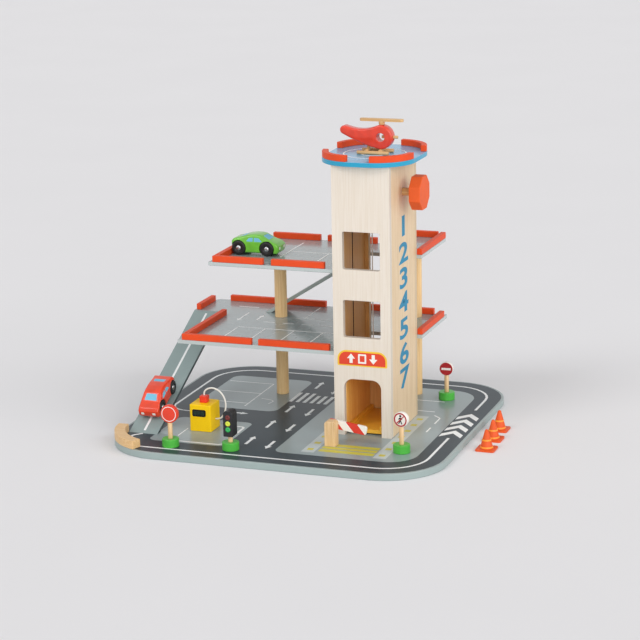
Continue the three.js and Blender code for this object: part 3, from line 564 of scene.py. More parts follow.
# The upper ramp's pale upright edges are painted light, which lifts the shade on that ramp's side.
ramp_paint_lit_edges = painted("ramp_paint_painted_light_edges", "#8FA09F", roughness=0.35, edge="#B4C0BE")
dress(["lower_deck", "upper_deck"], deck_paint, 0.8)
dress(["lower_ramp"], ramp_paint, 0.35)
dress(["upper_ramp"], ramp_paint_lit_edges, 0.35)
marks = strokes(LOWER_LINES, THIN_LINE)
marks += [arrow((-128, 95), (-128, 50), *DECK_ARROW), arrow((-103, 60), (-103, 86), *DECK_ARROW)]
printed("lower_deck_print", marks, LOWER_DECK_TOP, LINE_LIFT, line_ink, "garage")
marks = strokes(UPPER_LINES, THIN_LINE)
marks += [oblong(*UPPER_EDGE_LINE), arrow((110, 70), (110, 100), *DECK_ARROW)]
printed("upper_deck_print", marks, UPPER_DECK_TOP, LINE_LIFT, line_ink, "garage")


def facing(origin, across, upward=(0, 0, 1)):
    """the place of a flat mark: its middle, and which way its width and its height run"""
    across, upward = Vector(across).normalized(), Vector(upward).normalized()
    axes = Matrix((across, upward, across.cross(upward))).transposed().to_4x4()
    return Matrix.Translation(Vector(origin) * MM) @ axes


for name, foot, head in RAMP_RUNS:
    rise = Vector(head) - Vector(foot)
    line = [oblong(-RAMP_LINE / 2, RAMP_MARGIN, RAMP_LINE / 2, rise.length - RAMP_MARGIN)]
    on_ramp = facing(foot, rise.cross(Vector((0, 0, 1))), rise)
    printed(name, line, 0, LINE_LIFT, line_ink, "garage", on_ramp)

# Posts, ramp stop and rails. The two posts are beech dowels through the lower deck, the
# stop at the ramp's foot is a band-sawn beech arc, and the rails are beech strips sprayed
# red, glued along the decks' edges with gaps between them.

PORE_WIDE, PORE_LONG = 0.35, 5.0
PLY_LAYER, GLUE_FROM, GLUE_TO = 1.3, 0.4, 0.9


def planed_wood(
    name, light, dark, grain, streak=2.4, run=55.0, roughness=0.5, varnish=0.12, fleck=0.3, ply=None,
    inside=0,
):
    """bare planed wood, with soft streaks and short dark pores along the grain's axis. Where ply is
    given, faces that look along that axis are veneer, and the others show glued layers. Where
    inside is 1 or -1, the veneer facing that way is tinted browner: painted shade on the inner faces"""
    made, tree, place = material(name)
    patterns = []
    for across, along, detail in ((streak, run, 5.0), (PORE_WIDE, PORE_LONG, 2.0)):
        scales = [1000 / across] * 3
        scales[grain] = 1000 / along
        stretched = add(tree, "Mapping", {}, {"Vector": place, "Scale": scales}).outputs[0]
        patterns.append(noise(tree, stretched, 1.0, detail, Distortion=0.25))
    streaks, pores = patterns
    colour = blend(tree, spread(tree, streaks, 0.36, 0.66), linear(light), linear(dark))
    colour = blend(tree, spread(tree, pores, 0.56, 0.75, 0.0, fleck), colour, linear(dark, 0.62))
    if ply is not None:
        normal = add(tree, "NewGeometry").outputs["Normal"]
        side, through = [
            add(tree, "SeparateXYZ", {}, {0: source}).outputs[ply] for source in (normal, place)
        ]
        veneer = spread(tree, reckon(tree, "ABSOLUTE", side), 0.35, 0.7)
        layer = reckon(tree, "PINGPONG", through, PLY_LAYER * MM)
        layer = spread(tree, layer, GLUE_FROM * MM, GLUE_TO * MM)
        glued = blend(tree, layer, linear(dark, 0.72), linear(light, 0.98))
        colour = blend(tree, veneer, glued, colour)
    # Faces on the inner side are multiplied by a warm tint: painted shade and warm bounce light inside the
    # tower.
    if inside:
        inner_face_shade = spread(tree, reckon(tree, "MULTIPLY", side, inside), 0.5, 0.8)
        colour = blend(tree, inner_face_shade, colour, linear("#FFDFA8"), blend_type="MULTIPLY")
    return coated(made, tree, colour, {
        "IOR": 1.5, "Coat Weight": varnish, "Coat Roughness": 0.25,
    }, pores, 0.2, 0.0001, dull=(roughness - 0.06, roughness + 0.1))


upright_beech = planed_wood("upright_beech", "#F7D49C", "#E8BE84", grain=2)
lying_beech = planed_wood("lying_beech", "#E8C490", "#D8AE76", grain=0)
rail_paint = painted("red_rail_paint", "#E24C20", roughness=0.5, varnish=0.04, cloud=25, ior=1.32)
dress(["left_post", "right_post"], upright_beech, 0.6)
dress(["ramp_stop"], lying_beech, 1.0, 3)
dress([name for name in nodes if "_rail_" in name], rail_paint, 0.7)

# Lift tower. Four birch plywood panels, glued at their corners and rounded over, with the
# grain upright. The door and windows are routed through the front, and a groove down the
# middle of each side guides the lift. The label and numerals are printed.

TOWER_FRONT, TOWER_RIGHT = -71.0, 131.0
SIDE_VENEER = ("#E6CEAC", "#D8BC94")
LABEL, LABEL_BORDER, BORDER_SHARES = (59.0, 102.6, 126.0, 123.3), 2.3, (1, 0.7, -1, -1)
LABEL_CORNER, LABEL_FOOT_CORNER, FIELD_FOOT_CORNER, LABEL_LIFT = 12.0, 1.5, 0.5, 0.12
LABEL_ARROW, ARROW_OUT, MARK_DOWN, MARK_UP = (4.2, 11, 6.5), 15, 6, 6.5
LIFT_FRAME_HALF, LIFT_FRAME_WIDE = 5.5, 2.2
GROOVES = [("left_groove", 59.0, 1), ("right_groove", 126.0, -1)]
GROOVE_HALF, GROOVE_WALL, GROOVE_DEPTH, GROOVE_TOP = 1.68, 1.7, 3.0, 307.5
GROOVE_LIP, GROOVE_END_GAP = 0.1, 0.15
NUMERAL_PLACES, NUMERAL_Y = [276, 241, 208, 175, 141, 107, 75], -14.0
NUMERAL_HEIGHT, NUMERAL_FONT_SHARE, NUMERAL_STRETCH, NUMERAL_SWELL = 24.0, 0.66, 2.2, 0.9
face_birch = planed_wood("front_birch_plywood", "#E5DBCE", "#DFD3C3", 2, streak=1.6, fleck=0.1, ply=1)
# The rear panel and both side panels carry that painted warm shade on their inner faces.
rear_birch = planed_wood("rear_birch_plywood", *SIDE_VENEER, 2, streak=1.6, fleck=0.2, ply=1, inside=-1)
dress(["tower_front_panel"], face_birch, 1.5, 3)
dress(["tower_rear_panel"], rear_birch, 1.5, 3)
for side, inside in (("left", 1), ("right", -1)):
    birch = planed_wood(f"{side}_birch_plywood", *SIDE_VENEER, 2, streak=1.4, ply=0, inside=inside)
    dress([f"tower_{side}_panel"], birch, 0.4)
label_yellow = painted("yellow_label_ink", "#F2C53A")
label_red = painted("red_label_ink", "#E2452A")
label_white = painted("white_label_ink", "#F4F1EC")
numeral_blue = painted("blue_numeral_ink", "#1285AC", varnish=0.0, ior=1.25)
# A dark brown for the grooves: painted shade, standing for the shadow down in each groove.
groove_shade_paint = planed_wood("painted_groove_shade", "#4A3320", "#2E1F14", grain=2)

on_front = facing((0, TOWER_FRONT, 0), (1, 0, 0))
plate = oblong(*LABEL, [LABEL_FOOT_CORNER] * 2 + [LABEL_CORNER] * 2)
printed("label_border", [plate], 0, LABEL_LIFT, label_yellow, "garage", on_front)
left, bottom, right, top = [edge + share * LABEL_BORDER for edge, share in zip(LABEL, BORDER_SHARES)]
plate = oblong(left, bottom, right, top, [FIELD_FOOT_CORNER] * 2 + [LABEL_CORNER - LABEL_BORDER] * 2)
printed("label_field", [plate], 0, 2 * LABEL_LIFT, label_red, "garage", on_front)
middle, low, high = (left + right) / 2, (bottom + top) / 2 - MARK_DOWN, (bottom + top) / 2 + MARK_UP
marks = [
    arrow((middle - ARROW_OUT, low), (middle - ARROW_OUT, high), *LABEL_ARROW),
    arrow((middle + ARROW_OUT, high), (middle + ARROW_OUT, low), *LABEL_ARROW),
]
for inset, corner in ((0, 1), (LIFT_FRAME_WIDE, 0.5)):
    half = LIFT_FRAME_HALF - inset
    marks.append(oblong(middle - half, low + inset, middle + half, high - inset, corner))
printed("label_arrows", marks, 0, 3 * LABEL_LIFT, label_white, "garage", on_front)
# Dark strips on each groove's floor and back wall: painted shade in the grooves, not a stain of the wood.
for name, x, towards in GROOVES:
    near, far = sorted((GROOVE_END_GAP * towards, (GROOVE_DEPTH - GROOVE_LIP) * towards))
    for part, (start, end), place in (
        ("floor", (-GROOVE_HALF, GROOVE_HALF), facing((x, DRUM_Y, 0), (0, towards, 0))),
        ("wall", (near, far), facing((x, DRUM_Y + GROOVE_WALL, 0), (1, 0, 0))),
    ):
        strip = oblong(start, BOARD_TOP, end, GROOVE_TOP)
        printed(f"{name}_{part}", [strip], 0, LABEL_LIFT, groove_shade_paint, "garage", place)
stretched = Matrix.Diagonal((NUMERAL_STRETCH, 1, 1, 1))
for number, height in enumerate(NUMERAL_PLACES, start=1):
    digit = bpy.data.curves.new(f"numeral_{number}", "FONT")
    digit.body = str(number)
    digit.align_x, digit.align_y = "CENTER", "CENTER"
    digit.size = NUMERAL_HEIGHT / NUMERAL_FONT_SHARE * MM
    digit.offset = NUMERAL_SWELL * MM
    digit.extrude = LABEL_LIFT * MM
    place = facing((TOWER_RIGHT, NUMERAL_Y, height), (0, 1, 0)) @ stretched
    piece(f"numeral_{number}", digit, numeral_blue, "garage", place=place)

# Helipad. A fibreboard top with well rounded corners, sprayed blue and glued on the tower,
# with two printed rings, and a curved red curb on each corner.

HELIPAD_TOP, HELIPAD_MIDDLE = 369.0, (92.5, -10.0)
RING_RADII, RING_WIDTH = (40, 18), 1.6
helipad_paint = painted(
    "blue_helipad_paint", "#74B3D8", roughness=0.25, varnish=0.2, edge="#229DC2", cloud=40, ior=1.42,
)
dress(["helipad_board"], helipad_paint, 0.6)
dress([f"helipad_curb_{number}" for number in range(1, 5)], rail_paint, 0.7)
rings = [
    ring(HELIPAD_MIDDLE, radius + side * RING_WIDTH / 2, 72) for radius in RING_RADII for side in (1, -1)
]
printed("helipad_rings", rings, HELIPAD_TOP, LINE_LIFT, line_ink, "garage")

# Winch. A beech dowel through both tower sides, with a flanged drum for the cord, and an
# eight-sided orange knob glued on its outer end.

winch_beech = planed_wood("winch_beech", "#D9AF78", "#BF8E56", grain=0)
knob_paint = painted("orange_knob_paint", "#E85E26", roughness=0.55, varnish=0.0, cloud=20)
dress(["winch_shaft"], winch_beech, 0.4)
dress(["winch_knob"], knob_paint, 0.9, 3)

# Lift cabin. A box of thin plywood, stained orange, open at the front and the back, with
# two runners in the tower's grooves. Its floor is painted yellow, with a kerb on each side.

cabin_stain = planed_wood("orange_stained_plywood", "#FFCB70", "#F2B258", 2, streak=3.0, varnish=0.2)
floor_yellow = painted("yellow_cabin_floor_paint", "#F0B63C", roughness=0.4)
dress(["cabin_shell"], cabin_stain, 0.5)
dress(["cabin_floor"], floor_yellow, 0.5)

# Petrol pump. A yellow block with a red cap on top. On its front a display is printed:
# three dark green cells in a black frame.

PUMP_FRONT = -111.0
DISPLAY, DISPLAY_CORNER = (-129.3, 29.2, -110.2, 38.8), 2.2
CELL_PITCH, CELL_WIDTH, CELL_MARGIN, CELL_CORNER = 5.2, 4.6, 2.0, 0.6
pump_paint = painted("yellow_pump_paint", "#FACB00", roughness=0.45, varnish=0.05, cloud=25)
cap_paint = painted("red_cap_paint", "#E23B24", roughness=0.35, cloud=20)
frame_ink = painted("black_display_ink", "#17181A", roughness=0.25)
panel_ink = painted("dark_green_display_ink", "#26352C", roughness=0.2)
dress(["pump_body"], pump_paint, 1.0, 3)
dress(["pump_cap"], cap_paint, 0.9, 3)
on_pump = facing((0, PUMP_FRONT, 0), (1, 0, 0))
display = oblong(*DISPLAY, DISPLAY_CORNER)
printed("pump_display", [display], 0, 0.15, frame_ink, "pump", on_pump)
left, bottom, right, top = DISPLAY
cells = []
for index in range(3):
    start = left + CELL_MARGIN + CELL_PITCH * index
    cells.append(oblong(start, bottom + CELL_MARGIN, start + CELL_WIDTH, top - CELL_MARGIN, CELL_CORNER))
printed("pump_display_cells", cells, 0, 0.25, panel_ink, "pump", on_pump)

# Road signs. Each is a turned wooden disc on a beech stick, which stands in a round green
# foot. The discs are sprayed, and their signs are printed in front.

SIGN_HEIGHT, DISC_THICK, DISC_EDGE, DISC_EASING = 52.5, 6.5, 0.9, 0.25
STICK_RADIUS, STICK_FOOT, STICK_INSET = 3.0, 11.0, 1.5
ROD_EASING, ROD_SIDES = 0.4, 32
WALKER = [
    (-0.9, 3.0), (-2.9, 0.6), (-2.1, 0.0), (-1.0, 1.2), (-1.1, -1.2), (-3.0, -5.4), (-1.8, -5.8),
    (0.0, -2.2), (1.6, -5.8), (2.8, -5.3), (1.1, -1.2), (1.0, 1.2), (2.3, 0.0), (3.1, 0.7), (0.9, 3.0),
]


def turned(profile, place, sides=40):
    """a turned piece: the profile's radius and height points go round the place's third axis"""
    mesh = bmesh.new()
    angles = [math.tau * side / sides for side in range(sides)]
    rings = [
        [
            mesh.verts.new((radius * math.cos(angle) * MM, radius * math.sin(angle) * MM, height * MM))
            for angle in (angles if radius else angles[:1])
        ] for radius, height in profile
    ]
    for here, after in zip(rings, rings[1:]):
        for side in range(sides):
            beside = (side + 1) % sides
            corners = [
                here[side % len(here)], here[beside % len(here)],
                after[beside % len(after)], after[side % len(after)],
            ]
            mesh.faces.new(list(dict.fromkeys(corners)))
    bmesh.ops.transform(mesh, matrix=place, verts=mesh.verts)
    return meshed(mesh)


def rod(radius, low, high, place):
    """a plain dowel with eased ends"""
    return turned([
        (0, low), (radius - ROD_EASING, low), (radius, low + ROD_EASING),
        (radius, high - ROD_EASING), (radius - ROD_EASING, high), (0, high),
    ], place, ROD_SIDES)


def stick(name, x, y, top):
    """the beech stick of a sign or light, which stands in its green foot"""
    made = rod(STICK_RADIUS, STICK_FOOT, top, Matrix.Translation((x * MM, y * MM, 0)))
    piece(f"{name}_stick", made, stick_beech, name)


green_paint = painted("green_foot_paint", "#4FB542", roughness=0.35, cloud=20)
sign_red = painted("red_sign_paint", "#E0402A", roughness=0.35, cloud=20)
sign_dark_red = painted("dark_red_sign_ink", "#B0232B", roughness=0.35)
sign_white = painted("white_sign_paint", "#EFEAE2", roughness=0.35, cloud=20)
sign_black = painted("black_sign_ink", "#1D1C1C", roughness=0.35)
stick_beech = planed_wood("stick_beech", "#EAC89A", "#D8B07C", grain=2, streak=1.6)
SIGNS = [
    ("stop_sign", (-131, -179), 11.8, 0, sign_red, "red_paint"),
    ("no_entry_sign", (148, 123), 9.4, 4, sign_white, "white_paint"),
    ("no_walking_sign", (160, -120), 9.8, -10, sign_white, "white_paint"),
]
SIGN_MARKS = [
    ("stop_sign", "ring", [ring((0, 0), 9.8), ring((0, 0), 9.0)], 0.15, label_white, "white_paint"),
    ("no_entry_sign", "field", [ring((0, 0), 8.9)], 0.12, sign_dark_red, "red_paint"),
    ("no_entry_sign", "bar", [oblong(-6.4, -1.5, 6.4, 1.5, 0.3)], 0.22, label_white, "white_paint"),
    ("no_walking_sign", "ring", [ring((0, 0), 9.0), ring((0, 0), 7.3)], 0.15, sign_dark_red, "red_paint"),
    ("no_walking_sign", "figure", [WALKER, ring((0.1, 4.9), 1.5, 20)], 0.12, sign_black, "black_paint"),
    ("no_walking_sign", "bar", ribbon([(-5, -5), (5, 5)], 1.4), 0.2, sign_dark_red, "red_paint"),
]
dress([f"{name}_foot" for name, *rest in SIGNS] + ["traffic_light_foot"], green_paint, 1.0, 3)
disc_fronts = {}
for name, (x, y), radius, angle, paint, slot in SIGNS:
    turn = math.radians(angle)
    place = facing((x, y, SIGN_HEIGHT), (math.cos(turn), math.sin(turn), 0))
    half = DISC_THICK / 2
    front_half = [
        (radius, half - DISC_EDGE), (radius - DISC_EASING, half - DISC_EASING),
        (radius - DISC_EDGE, half), (0, half),
    ]
    profile = [(wide, -height) for wide, height in reversed(front_half)] + front_half
    piece(f"{name}_disc", turned(profile, place, 64), paint, name, [f"{name}_board"])
    stick(name, x, y, SIGN_HEIGHT - radius + STICK_INSET)
    disc_fronts[name] = place @ Matrix.Translation((0, 0, half * MM))
for name, mark, loops, lift, ink, slot in SIGN_MARKS:
    printed(f"{name}_{mark}", loops, 0, lift, ink, name, disc_fronts[name])

# Traffic light. A black block with a rounded top on a beech stick in a green foot, and
# three low painted domes for its lamps.

LIGHT_X, LIGHT_Y, LIGHT_WIDTH, LIGHT_DEPTH = -51.5, -171.0, 13.0, 16.0
LIGHT_BOTTOM, LIGHT_TOP, LIGHT_FOOT_CORNER, LIGHT_SHOULDER = 28.0, 62.0, 1.0, 5.0
LAMP_DOME = [
    (0, 0.35), (0.9, 0.3), (1.4, 0.75), (2.0, 0.8), (2.9, 0.5), (3.4, 0), (3.4, -0.5), (0, -0.5),
]


def sawn(outline, low, high, place):
    """a shape sawn from a board: its outline is across the place, from low to high along it"""
    mesh = bmesh.new()
    skin(mesh, [
        [mesh.verts.new((x * MM, y * MM, height * MM)) for x, y in outline] for height in (low, high)
    ])
    bmesh.ops.transform(mesh, matrix=place, verts=mesh.verts)
    return meshed(mesh)


black_paint = painted("black_light_paint", "#242527", roughness=0.35, cloud=20)
on_light = facing((LIGHT_X, LIGHT_Y, 0), (1, 0, 0))
outline = oblong(
    -LIGHT_WIDTH / 2, LIGHT_BOTTOM, LIGHT_WIDTH / 2, LIGHT_TOP,
    [LIGHT_FOOT_CORNER] * 2 + [LIGHT_SHOULDER] * 2,
)
head = piece(
    "traffic_light_block", sawn(outline, -LIGHT_DEPTH / 2, LIGHT_DEPTH / 2, on_light),
    black_paint, "traffic_light", ["traffic_light_head"],
)
ease(head, 0.8, 3)
stick("traffic_light", LIGHT_X, LIGHT_Y, LIGHT_BOTTOM + 1)
for name, height, code, slot in (
    ("red", 53.4, "#6E2C28", "red_paint"), ("amber", 45.4, "#D2DC48", "yellow_paint"),
    ("green", 37.6, "#35AE5C", "green_paint"),
):
    lens = turned(LAMP_DOME, facing((LIGHT_X, LIGHT_Y - LIGHT_DEPTH / 2, height), (1, 0, 0)))
    lamp_paint = painted(f"{name}_lamp_paint", code, roughness=0.25, cloud=10)
    piece(f"traffic_light_{name}_lamp", lens, lamp_paint, "traffic_light")

# Barrier. A beech block with a rounded top and a pin, on which a thin white boom with red
# slanted stripes swings.

STRIPE_PITCH, STRIPE_SLANT, STRIPE_SHIFT, STRIPE_SHARE, STRIPE_END = 26.0, 0.8, 23.6, 0.475, 134.5
dress(["barrier_post"], stick_beech, 0.8, 3)
boom_paint, tree, place = material("striped_boom_paint")
slanted = add(tree, "VectorMath", {"operation": "DOT_PRODUCT"}, {
    0: place, 1: (1000 / STRIPE_PITCH, 0, 1000 * STRIPE_SLANT / STRIPE_PITCH),
}).outputs["Value"]
turns = reckon(tree, "FRACT", reckon(tree, "SUBTRACT", slanted, STRIPE_SHIFT / STRIPE_PITCH))
before_end = reckon(tree, "LESS_THAN", slanted, STRIPE_END / STRIPE_PITCH)
stripe = reckon(tree, "MULTIPLY", reckon(tree, "GREATER_THAN", turns, STRIPE_SHARE), before_end)
specks = noise(tree, place, 900.0, 2.0)
coated(boom_paint, tree, blend(tree, stripe, linear("#F0EDE8"), linear("#DB3B2C")), {
    "IOR": 1.46, "Coat Weight": 0.3, "Coat Roughness": 0.1,
}, specks, 0.12, 0.0001, dull=(0.3, 0.42))
dress(["barrier_boom"], boom_paint, 0.5)

# Traffic cones. Each is turned from one piece of wood on a thin square foot, sprayed
# bright orange, with two bands of yellow.

CONES = [("cone_a", "cone_1", (246, 34)), ("cone_b", "cone_2", (249, -9)), ("cone_c", "cone_3", (252, -52))]
CONE_FOOT_TOP, CONE_TOP, CONE_WIDE, CONE_NARROW = 2.5, 27.0, 8.6, 2.2
CONE_BANDS, BAND_IN, BAND_OUT = ((3.4, 5.2), (12.6, 14.4)), 0.4, 0.15
cone_paint = painted("orange_cone_paint", "#DF561C", roughness=0.5, varnish=0.05, cloud=15)
band_paint = painted("yellow_cone_band_paint", "#FFA030", roughness=0.35, cloud=15)
slope = (CONE_WIDE - CONE_NARROW) / (CONE_TOP - CONE_FOOT_TOP)
for body, node, (x, y) in CONES:
    dress([node], cone_paint, 0.5)
    for number, (low, high) in enumerate(CONE_BANDS, start=1):
        wide, narrow = [CONE_WIDE - slope * (height - CONE_FOOT_TOP) for height in (low, high)]
        profile = [
            (wide - BAND_IN, low), (wide + BAND_OUT, low), (narrow + BAND_OUT, high),
            (narrow - BAND_IN, high), (wide - BAND_IN, low),
        ]
        band = turned(profile, Matrix.Translation((x * MM, y * MM, 0)))
        ease(piece(f"{body}_band_{number}", band, band_paint, body), 0.1)

# Cars. Each body is carved from one block of wood: its side is sawn, its edges are rounded
# and its cabin leans in. It is lacquered, and its windows and lights are painted on. Its
# black wooden wheels turn with their steel axles, whose ends have domed heads.

CAR_TAIL, CAR_LENGTH, CAR_WIDTH, CAR_HEIGHT, CAR_CLEARANCE = -29.75, 66.0, 29.0, 26.0, 3.5
CAR_EDGE, BELT, CABIN_LEAN, AXLE_X, AXLE_HALF, WHEEL_RADIUS = 2.5, 17.5, 0.2, 19.75, 8.6, 9.5
WELL_RADIUS, WELL_DEPTH, WELL_OVERRUN, PIN_RADIUS = 10.5, 7.0, 3.0, 1.5
CAR_SIDE_SHARES = [
    (0.02, 0), (0.98, 0), (1, 0.12), (1, 0.32), (0.96, 0.43), (0.8, 0.6), (0.63, 0.88), (0.56, 0.92),
    (0.44, 0.92), (0.32, 0.87), (0.12, 0.7), (0.02, 0.64), (0, 0.56), (0, 0.12),
]
CAR_SIDE_RADII = [0.2, 0.2, 1.5, 1.5, 1.8, 4, 2.5, 1.5, 1.5, 2.5, 4, 1.5, 1, 0.8]
WINDSCREEN = [(-8.5, -4.6), (8.5, -4.6), (7.2, 4.6), (-7.2, 4.6)]
REAR_WINDOW = [(-8.2, -3.4), (8.2, -3.4), (7.2, 3.4), (-7.2, 3.4)]
SIDE_PANES = [
    [(-9.5, 1.2), (0.5, 1.2), (0.5, 6.6), (-4.8, 6.0)],
    [(2.2, 1.2), (14.6, 1.2), (8.4, 6.0), (2.2, 6.6)],
]
PANE_CORNER, PANE_LIFT = 0.9, 0.12
LIGHT_PLACES, LIGHT_HALF, LIGHT_LOW, LIGHT_HIGH = (-8, 8), 2.2, 8.8, 12.4
TYRE = [
    (0, 14.5), (4.3, 14.5), (4.9, 15.0), (8.2, 15.0), (9.1, 14.6), (9.5, 13.8), (9.5, 9.4),
    (9.2, 8.7), (8.4, 8.5), (0, 8.5),
]
PIN_HEAD = [(0, 15.6), (1.5, 15.5), (2.8, 15.1), (3.4, 14.5), (3.4, 14.2), (0, 14.2)]
GREEN_CAR_PLACE = (-0.0755, -0.0045, 0.2273)
RED_CAR_PLACE, RED_CAR_RISE, RED_CAR_RUN = (-0.188, -0.083025, 0.03622), 110, 229


def lacquered(name, code):
    """clear-coated bright lacquer on sanded wood: glossy, with slight waves from brushing"""
    made, tree, place = material(name)
    waves = noise(tree, place, 110.0, 3.0)
    return coated(made, tree, shaded(tree, spread(tree, waves, 0.35, 0.65), code, 0.92, 1.08), {
        "IOR": 1.4, "Coat Weight": 0.45, "Coat Roughness": 0.08,
    }, waves, 0.12, 0.0004, dull=(0.26, 0.38))


def zinc(name):
    """zinc-plated steel pin heads: bright metal with fine turned scratches"""
    made, tree, place = material(name)
    scratches = noise(tree, place, 2400.0, 3.0)
    colour = blend(tree, scratches, linear("#A9ABAD"), linear("#D4D5D6"))
    return coated(made, tree, colour, {"Metallic": 1.0}, scratches, 0.1, 0.00005, dull=(0.22, 0.4))


def rounded_block(outline, half, edge, steps=4):
    """a sawn shape with rounded edges: the outline grows by edge between its two faces"""
    rows = []
    for side in (-1, 1):
        for step in range(steps + 1):
            angle = math.pi / 2 * (step if side < 0 else steps - step) / steps
            rows.append((side * (half - edge + edge * math.cos(angle)), edge * math.sin(angle)))
    mesh = bmesh.new()
    rings = []
    for across, grown in rows:
        band = []
        for at, here in enumerate(outline):
            along = (outline[(at + 1) % len(outline)] - outline[at - 1]).normalized()
            spot = here + Vector((along.y, -along.x)) * grown
            band.append(mesh.verts.new((spot.x * MM, across * MM, spot.y * MM)))
        rings.append(band)
    skin(mesh, rings)
    return mesh


def carved(block, cutters):
    """the mesh that is left of a block when the cutters' shapes are taken out of it"""
    spares = [placed("block", made) for made in (block, *cutters)]
    whole, *tools = spares
    for tool in tools:
        taken = whole.modifiers.new("taken", "BOOLEAN")
        taken.object, taken.operation, taken.solver = tool, "DIFFERENCE", "EXACT"
    left = bpy.data.meshes.new_from_object(whole.evaluated_get(bpy.context.evaluated_depsgraph_get()))
    for spare in spares:
        bpy.data.objects.remove(spare)
    return left


def car_block(place):
    """the carved wooden body of a car"""
    outline = bent([
        (
            CAR_TAIL + CAR_EDGE + along * (CAR_LENGTH - 2 * CAR_EDGE),
            CAR_CLEARANCE + CAR_EDGE + up * (CAR_HEIGHT - 2 * CAR_EDGE),
        ) for along, up in CAR_SIDE_SHARES
    ], CAR_SIDE_RADII, steps=4)
    mesh = rounded_block(outline, CAR_WIDTH / 2, CAR_EDGE)
    everything = [*mesh.verts, *mesh.edges, *mesh.faces]
    bmesh.ops.bisect_plane(mesh, geom=everything, plane_co=(0, 0, BELT * MM), plane_no=(0, 0, 1))
    for corner in mesh.verts:
        above = max(0.0, corner.co.z / MM - BELT) / (CAR_CLEARANCE + CAR_HEIGHT - BELT)
        corner.co.y *= 1 - CABIN_LEAN * above
    inner, outer = CAR_WIDTH / 2 - WELL_DEPTH, CAR_WIDTH / 2 + WELL_OVERRUN
    well = [(0, inner), (WELL_RADIUS, inner), (WELL_RADIUS, outer), (0, outer)]
    made = carved(meshed(mesh), [
        turned(well, facing((x, 0, WHEEL_RADIUS), (-side, 0, 0)), 56)
        for x in (-AXLE_X, AXLE_X) for side in (-1, 1)
    ])
    made.transform(place)
    return made


window_paint = painted("light_blue_window_paint", "#74BBD8", roughness=0.5, varnish=0.05, cloud=15)
tyre_paint = painted("black_wheel_paint", "#1F1F20", roughness=0.45, varnish=0.15, cloud=12)
pin_steel = zinc("zinc_plated_steel")
downhill = Vector((0, -RED_CAR_RUN, -RED_CAR_RISE)).normalized()
off_ramp = Vector((0, -RED_CAR_RISE, RED_CAR_RUN)).normalized()
on_slope = Matrix((downhill, (1, 0, 0), off_ramp)).transposed().to_4x4()
CARS = [
    ("green_car", "car_green", "#6EBD3A", Matrix.Translation(GREEN_CAR_PLACE)),
    ("red_car", "car_red", "#E03F1A", Matrix.Translation(RED_CAR_PLACE) @ on_slope),
]
lean = CABIN_LEAN * CAR_WIDTH / 2 / (CAR_CLEARANCE + CAR_HEIGHT - BELT)
panes = [
    ("windscreen", [WINDSCREEN], facing((17.6, 0, 23.7), (0, 1, 0), (-0.87, 0, 0.493))),
    ("rear_window", [REAR_WINDOW], facing((-14.6, 0, 24.92), (0, -1, 0), (0.96, 0, 0.281))),
    ("right_windows", SIDE_PANES, facing((0, -CAR_WIDTH / 2, BELT), (1, 0, 0), (0, lean, 1))),
    (
        "left_windows", [[(-x, up) for x, up in pane] for pane in SIDE_PANES],
        facing((0, CAR_WIDTH / 2, BELT), (-1, 0, 0), (0, -lean, 1)),
    ),
]
nose = facing((CAR_TAIL + CAR_LENGTH, 0, 0), (0, 1, 0))
lights = [oblong(y - LIGHT_HALF, LIGHT_LOW, y + LIGHT_HALF, LIGHT_HIGH, 1) for y in LIGHT_PLACES]
for car, slot, code, place in CARS:
    lacquer = lacquered(f"{car}_lacquer", code)
    shell = piece(f"{car}_shell", car_block(place), lacquer, car, [f"{car}_body"])
    ease(shell, 0.35, 2, 40)
    for name, loops, on_car in panes:
        softened = [bent(loop, PANE_CORNER, steps=4) for loop in loops]
        printed(f"{car}_{name}", softened, 0, PANE_LIFT, window_paint, car, place @ on_car)
    printed(f"{car}_headlights", lights, 0, PANE_LIFT, label_white, car, place @ nose)
    for axle, x in (("rear", -AXLE_X), ("front", AXLE_X)):
        body = f"{car.split('_')[0]}_{axle}_wheels"
        replaced = [f"{car}_{axle}_wheels"]
        for side, across in (("right", 1), ("left", -1)):
            name = f"{car}_{axle}_{side}"
            hub = place @ facing((x, 0, WHEEL_RADIUS), (across, 0, 0))
            piece(f"{name}_wheel", turned(TYRE, hub, 48), tyre_paint, body, replaced)
            piece(f"{name}_pin", turned(PIN_HEAD, hub, 32), pin_steel, body)
            replaced = []
        middle = place @ facing((x, 0, WHEEL_RADIUS), (1, 0, 0))
        axle_rod = rod(PIN_RADIUS, -AXLE_HALF, AXLE_HALF, middle)
        piece(f"{car}_{axle}_axle", axle_rod, pin_steel, body)

# Helicopter. A flat teardrop of red-painted wood with a hole for its window, on beech
# dowel skids, with a beech nose pin and a beech rotor that spins on its peg.

HELICOPTER = Matrix.Translation((0.08275, -0.01, 0.369))
COCKPIT, COCKPIT_RADIUS, TAIL, TAIL_RADIUS = Vector((19.5, 21.7)), 15.5, Vector((-29.5, 29.7)), 5.5
HELICOPTER_WIDE, HELICOPTER_EDGE, WINDOW_RADIUS, WINDOW_REACH = 15.0, 2.5, 5.5, 12.0
SKID_RADIUS, SKID_SPREAD, SKID_REAR, SKID_FRONT = 2.4, 11.0, -10.5, 31.5
PEG_RADIUS, PIN_REAR, PIN_FRONT = 2.0, 19.5, 41.0
BAR_PLACES, BAR_HEIGHT, STRUT_TOP = (("rear", 1.5), ("front", 19.5)), 4.4, 14.8


def eased_between(start, pull, end, steps):
    """the inner points of a curve from start to end that a third point pulls"""
    shares = [step / steps for step in range(1, steps)]
    return [(1 - t) ** 2 * start + 2 * t * (1 - t) * pull + t * t * end for t in shares]


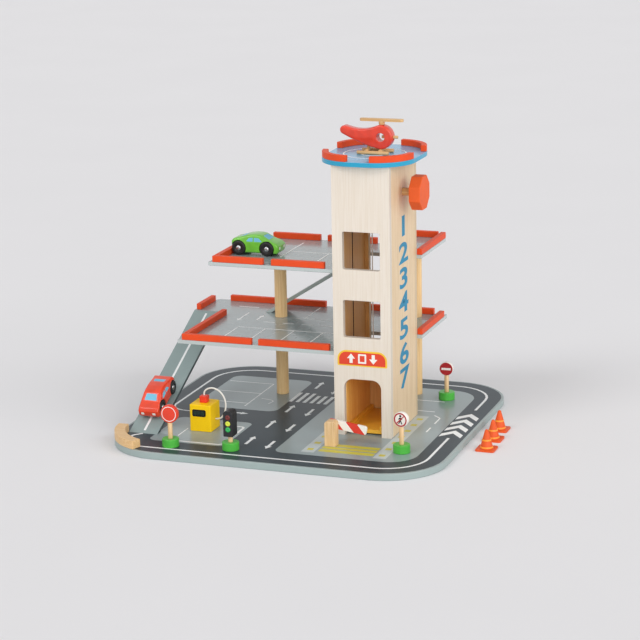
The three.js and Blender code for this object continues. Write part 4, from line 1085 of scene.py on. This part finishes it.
nose_arc = arc(COCKPIT, COCKPIT_RADIUS - HELICOPTER_EDGE, -110, 105, 30)
tail_arc = arc(TAIL, TAIL_RADIUS - HELICOPTER_EDGE, 80, 250, 12)
waist = (COCKPIT.x + TAIL.x) / 2
top_pull = Vector((waist, COCKPIT.y + TAIL_RADIUS - HELICOPTER_EDGE))
low_pull = Vector((waist, COCKPIT.y - COCKPIT_RADIUS / 2))
outline = nose_arc + eased_between(nose_arc[-1], top_pull, tail_arc[0], 12)
outline += tail_arc + eased_between(tail_arc[-1], low_pull, nose_arc[0], 12)
block = meshed(rounded_block(outline, HELICOPTER_WIDE / 2, HELICOPTER_EDGE))
hole = turned([
    (0, -WINDOW_REACH), (WINDOW_RADIUS, -WINDOW_REACH), (WINDOW_RADIUS, WINDOW_REACH), (0, WINDOW_REACH),
], facing((COCKPIT.x, 0, COCKPIT.y), (1, 0, 0)), 48)
shell_mesh = carved(block, [hole])
shell_mesh.transform(HELICOPTER)
shell = piece(
    "helicopter_shell", shell_mesh, lacquered("red_helicopter_lacquer", "#E0402A"),
    "helicopter", ["helicopter_body"],
)
ease(shell, 0.5, 2, 50)
dowel_beech = planed_wood("dowel_beech", "#E0BA84", "#C99B62", grain=0, streak=1.5)
along_x, along_z = Matrix.Rotation(math.pi / 2, 4, "Y"), Matrix.Identity(4)
along_y = Matrix.Rotation(-math.pi / 2, 4, "X")
dowels = [
    (f"skid_{side}", SKID_RADIUS, SKID_REAR, SKID_FRONT, (0, y, SKID_RADIUS), along_x)
    for side, y in (("right", -SKID_SPREAD), ("left", SKID_SPREAD))
]
dowels.append(("nose_pin", PEG_RADIUS, PIN_REAR, PIN_FRONT, (0, 0, COCKPIT.y), along_x))
for end, x in BAR_PLACES:
    dowels.append((f"{end}_bar", PEG_RADIUS, -SKID_SPREAD, SKID_SPREAD, (x, 0, BAR_HEIGHT), along_y))
    dowels.append((f"{end}_strut", PEG_RADIUS, SKID_RADIUS, STRUT_TOP, (x, 0, 0), along_z))
for name, radius, low, high, origin, turn in dowels:
    dowel = rod(radius, low, high, HELICOPTER @ Matrix.Translation(Vector(origin) * MM) @ turn)
    piece(f"helicopter_{name}", dowel, dowel_beech, "helicopter")
dress(["helicopter_rotor"], dowel_beech, 0.5)
